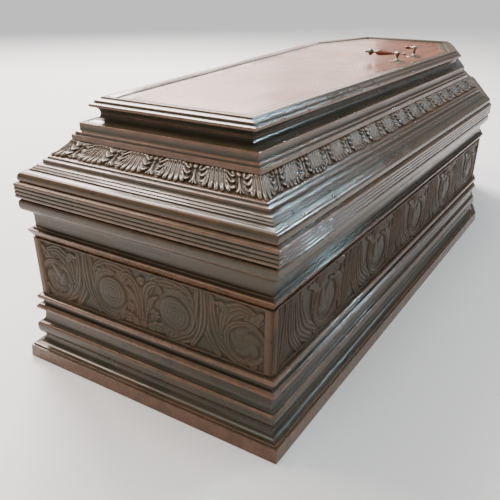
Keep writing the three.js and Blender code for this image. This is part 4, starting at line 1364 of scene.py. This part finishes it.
# %% Assign finishes and bodies
for piece, body, slot, nodes in dressed:
    piece.data.materials.clear()
    piece.data.materials.append(leaf_finish if "leaf_band" in piece.name else FINISHES[slot])
    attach(piece, body)
    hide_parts(*nodes)
for node, slot in (("lid_panel", "panel_wood"), ("bottom_board", "plain_wood")):
    kept = frame["nodes"][node]
    for place in kept.material_slots:
        place.material = FINISHES[slot]
print("pieces dressed:", len(dressed))

# %% [markdown]
# ## Floor and light
# The photo is lit by tall windows behind and to the left, which turn every ledge that faces up almost
# white. A low window far behind serves the flat ledges, and a broad soft sun stands for the sky. The
# right side has a weaker cool light, and two narrow beams make the cool patch at the near corner. The
# front is in shade, with a little light from the room. The floor and the surround are plain and pale.

# %% Add the floor and the lights
FLOOR_HALF = 40.0
FLOOR_PAINT = rgba(0.60, 0.60, 0.60)
FLOOR_ROUGHNESS = 0.95
SURROUND = rgba(0.97, 0.96, 0.95)
SURROUND_STRENGTH = 0.32
SKY_STRENGTH = 3.2
SKY_DEGREES = 60


def make_floor():
    corners = [(x * FLOOR_HALF, y * FLOOR_HALF, 0) for x, y in ((-1, -1), (1, -1), (1, 1), (-1, 1))]
    floor = finish_mesh("pale_floor", corners, [(0, 1, 2, 3)])
    material = bpy.data.materials.new("pale_floor_paint")
    shader = start_material(material)[1]
    shader["Base Color"].default_value = FLOOR_PAINT
    shader["Roughness"].default_value = FLOOR_ROUGHNESS
    floor.data.materials.append(material)


def soft_light(name, place, target, size, power, colour, beam_degrees=180):
    light = bpy.data.lights.new(name, "AREA")
    light.shape = "RECTANGLE"
    light.size, light.size_y = size
    light.energy = power
    light.color = colour
    light.spread = math.radians(beam_degrees)
    lamp = put_in_scene(name, light)
    lamp.location = place
    direction = Vector(target) - Vector(place)
    lamp.rotation_euler = direction.to_track_quat("-Z", "Y").to_euler()
    lamp.visible_camera = False


def soft_sky(strength, spread_degrees):
    """A sun as wide as an overcast sky, straight above, that lights the whole floor evenly."""
    sky = bpy.data.lights.new("soft_sky", "SUN")
    sky.energy = strength
    sky.angle = math.radians(spread_degrees)
    put_in_scene("soft_sky", sky)


COFFIN_MIDDLE = (0, 0, 0.5)
FOOT_END = (0, -0.8, 0.55)
NEAR_CORNER = (0.28, -0.98, 0.48)
make_floor()
soft_sky(SKY_STRENGTH, SKY_DEGREES)
soft_light("window_behind_left", (-4.42, 2.88, 5.03), FOOT_END, (3.5, 3.2), 1600, (1.0, 0.91, 0.88))
soft_light("window_back_low", (-3.61, 3.66, 2.30), FOOT_END, (2.6, 1.1), 50, (1.0, 0.80, 0.73))
soft_light("window_left", (-2.80, -0.90, 3.20), FOOT_END, (1.2, 1.5), 180, (1.0, 0.82, 0.72))
soft_light("window_far_low", (-2.50, 4.00, 1.65), COFFIN_MIDDLE, (2.7, 1.5), 42, (1.0, 0.79, 0.72))
soft_light("window_right", (1.90, 2.05, 2.30), FOOT_END, (0.40, 2.0), 26, (0.62, 0.84, 1.0))
soft_light("beam_right", (2.05, 2.30, 2.40), NEAR_CORNER, (0.26, 1.0), 0.55, (0.50, 0.80, 1.0), 4)
soft_light("beam_behind", (-0.35, 2.20, 2.85), NEAR_CORNER, (0.36, 1.0), 0.34, (0.50, 0.80, 1.0), 4)
soft_light("room_front", (0.6, -4.20, 1.20), COFFIN_MIDDLE, (4.0, 2.2), 40, (1.0, 1.0, 0.84))
world = bpy.data.worlds.new("pale_surround")
world.use_nodes = True
background = world.node_tree.nodes["Background"].inputs
background["Color"].default_value = SURROUND
background["Strength"].default_value = SURROUND_STRENGTH
bpy.context.scene.world = world
print("lights and floor placed")
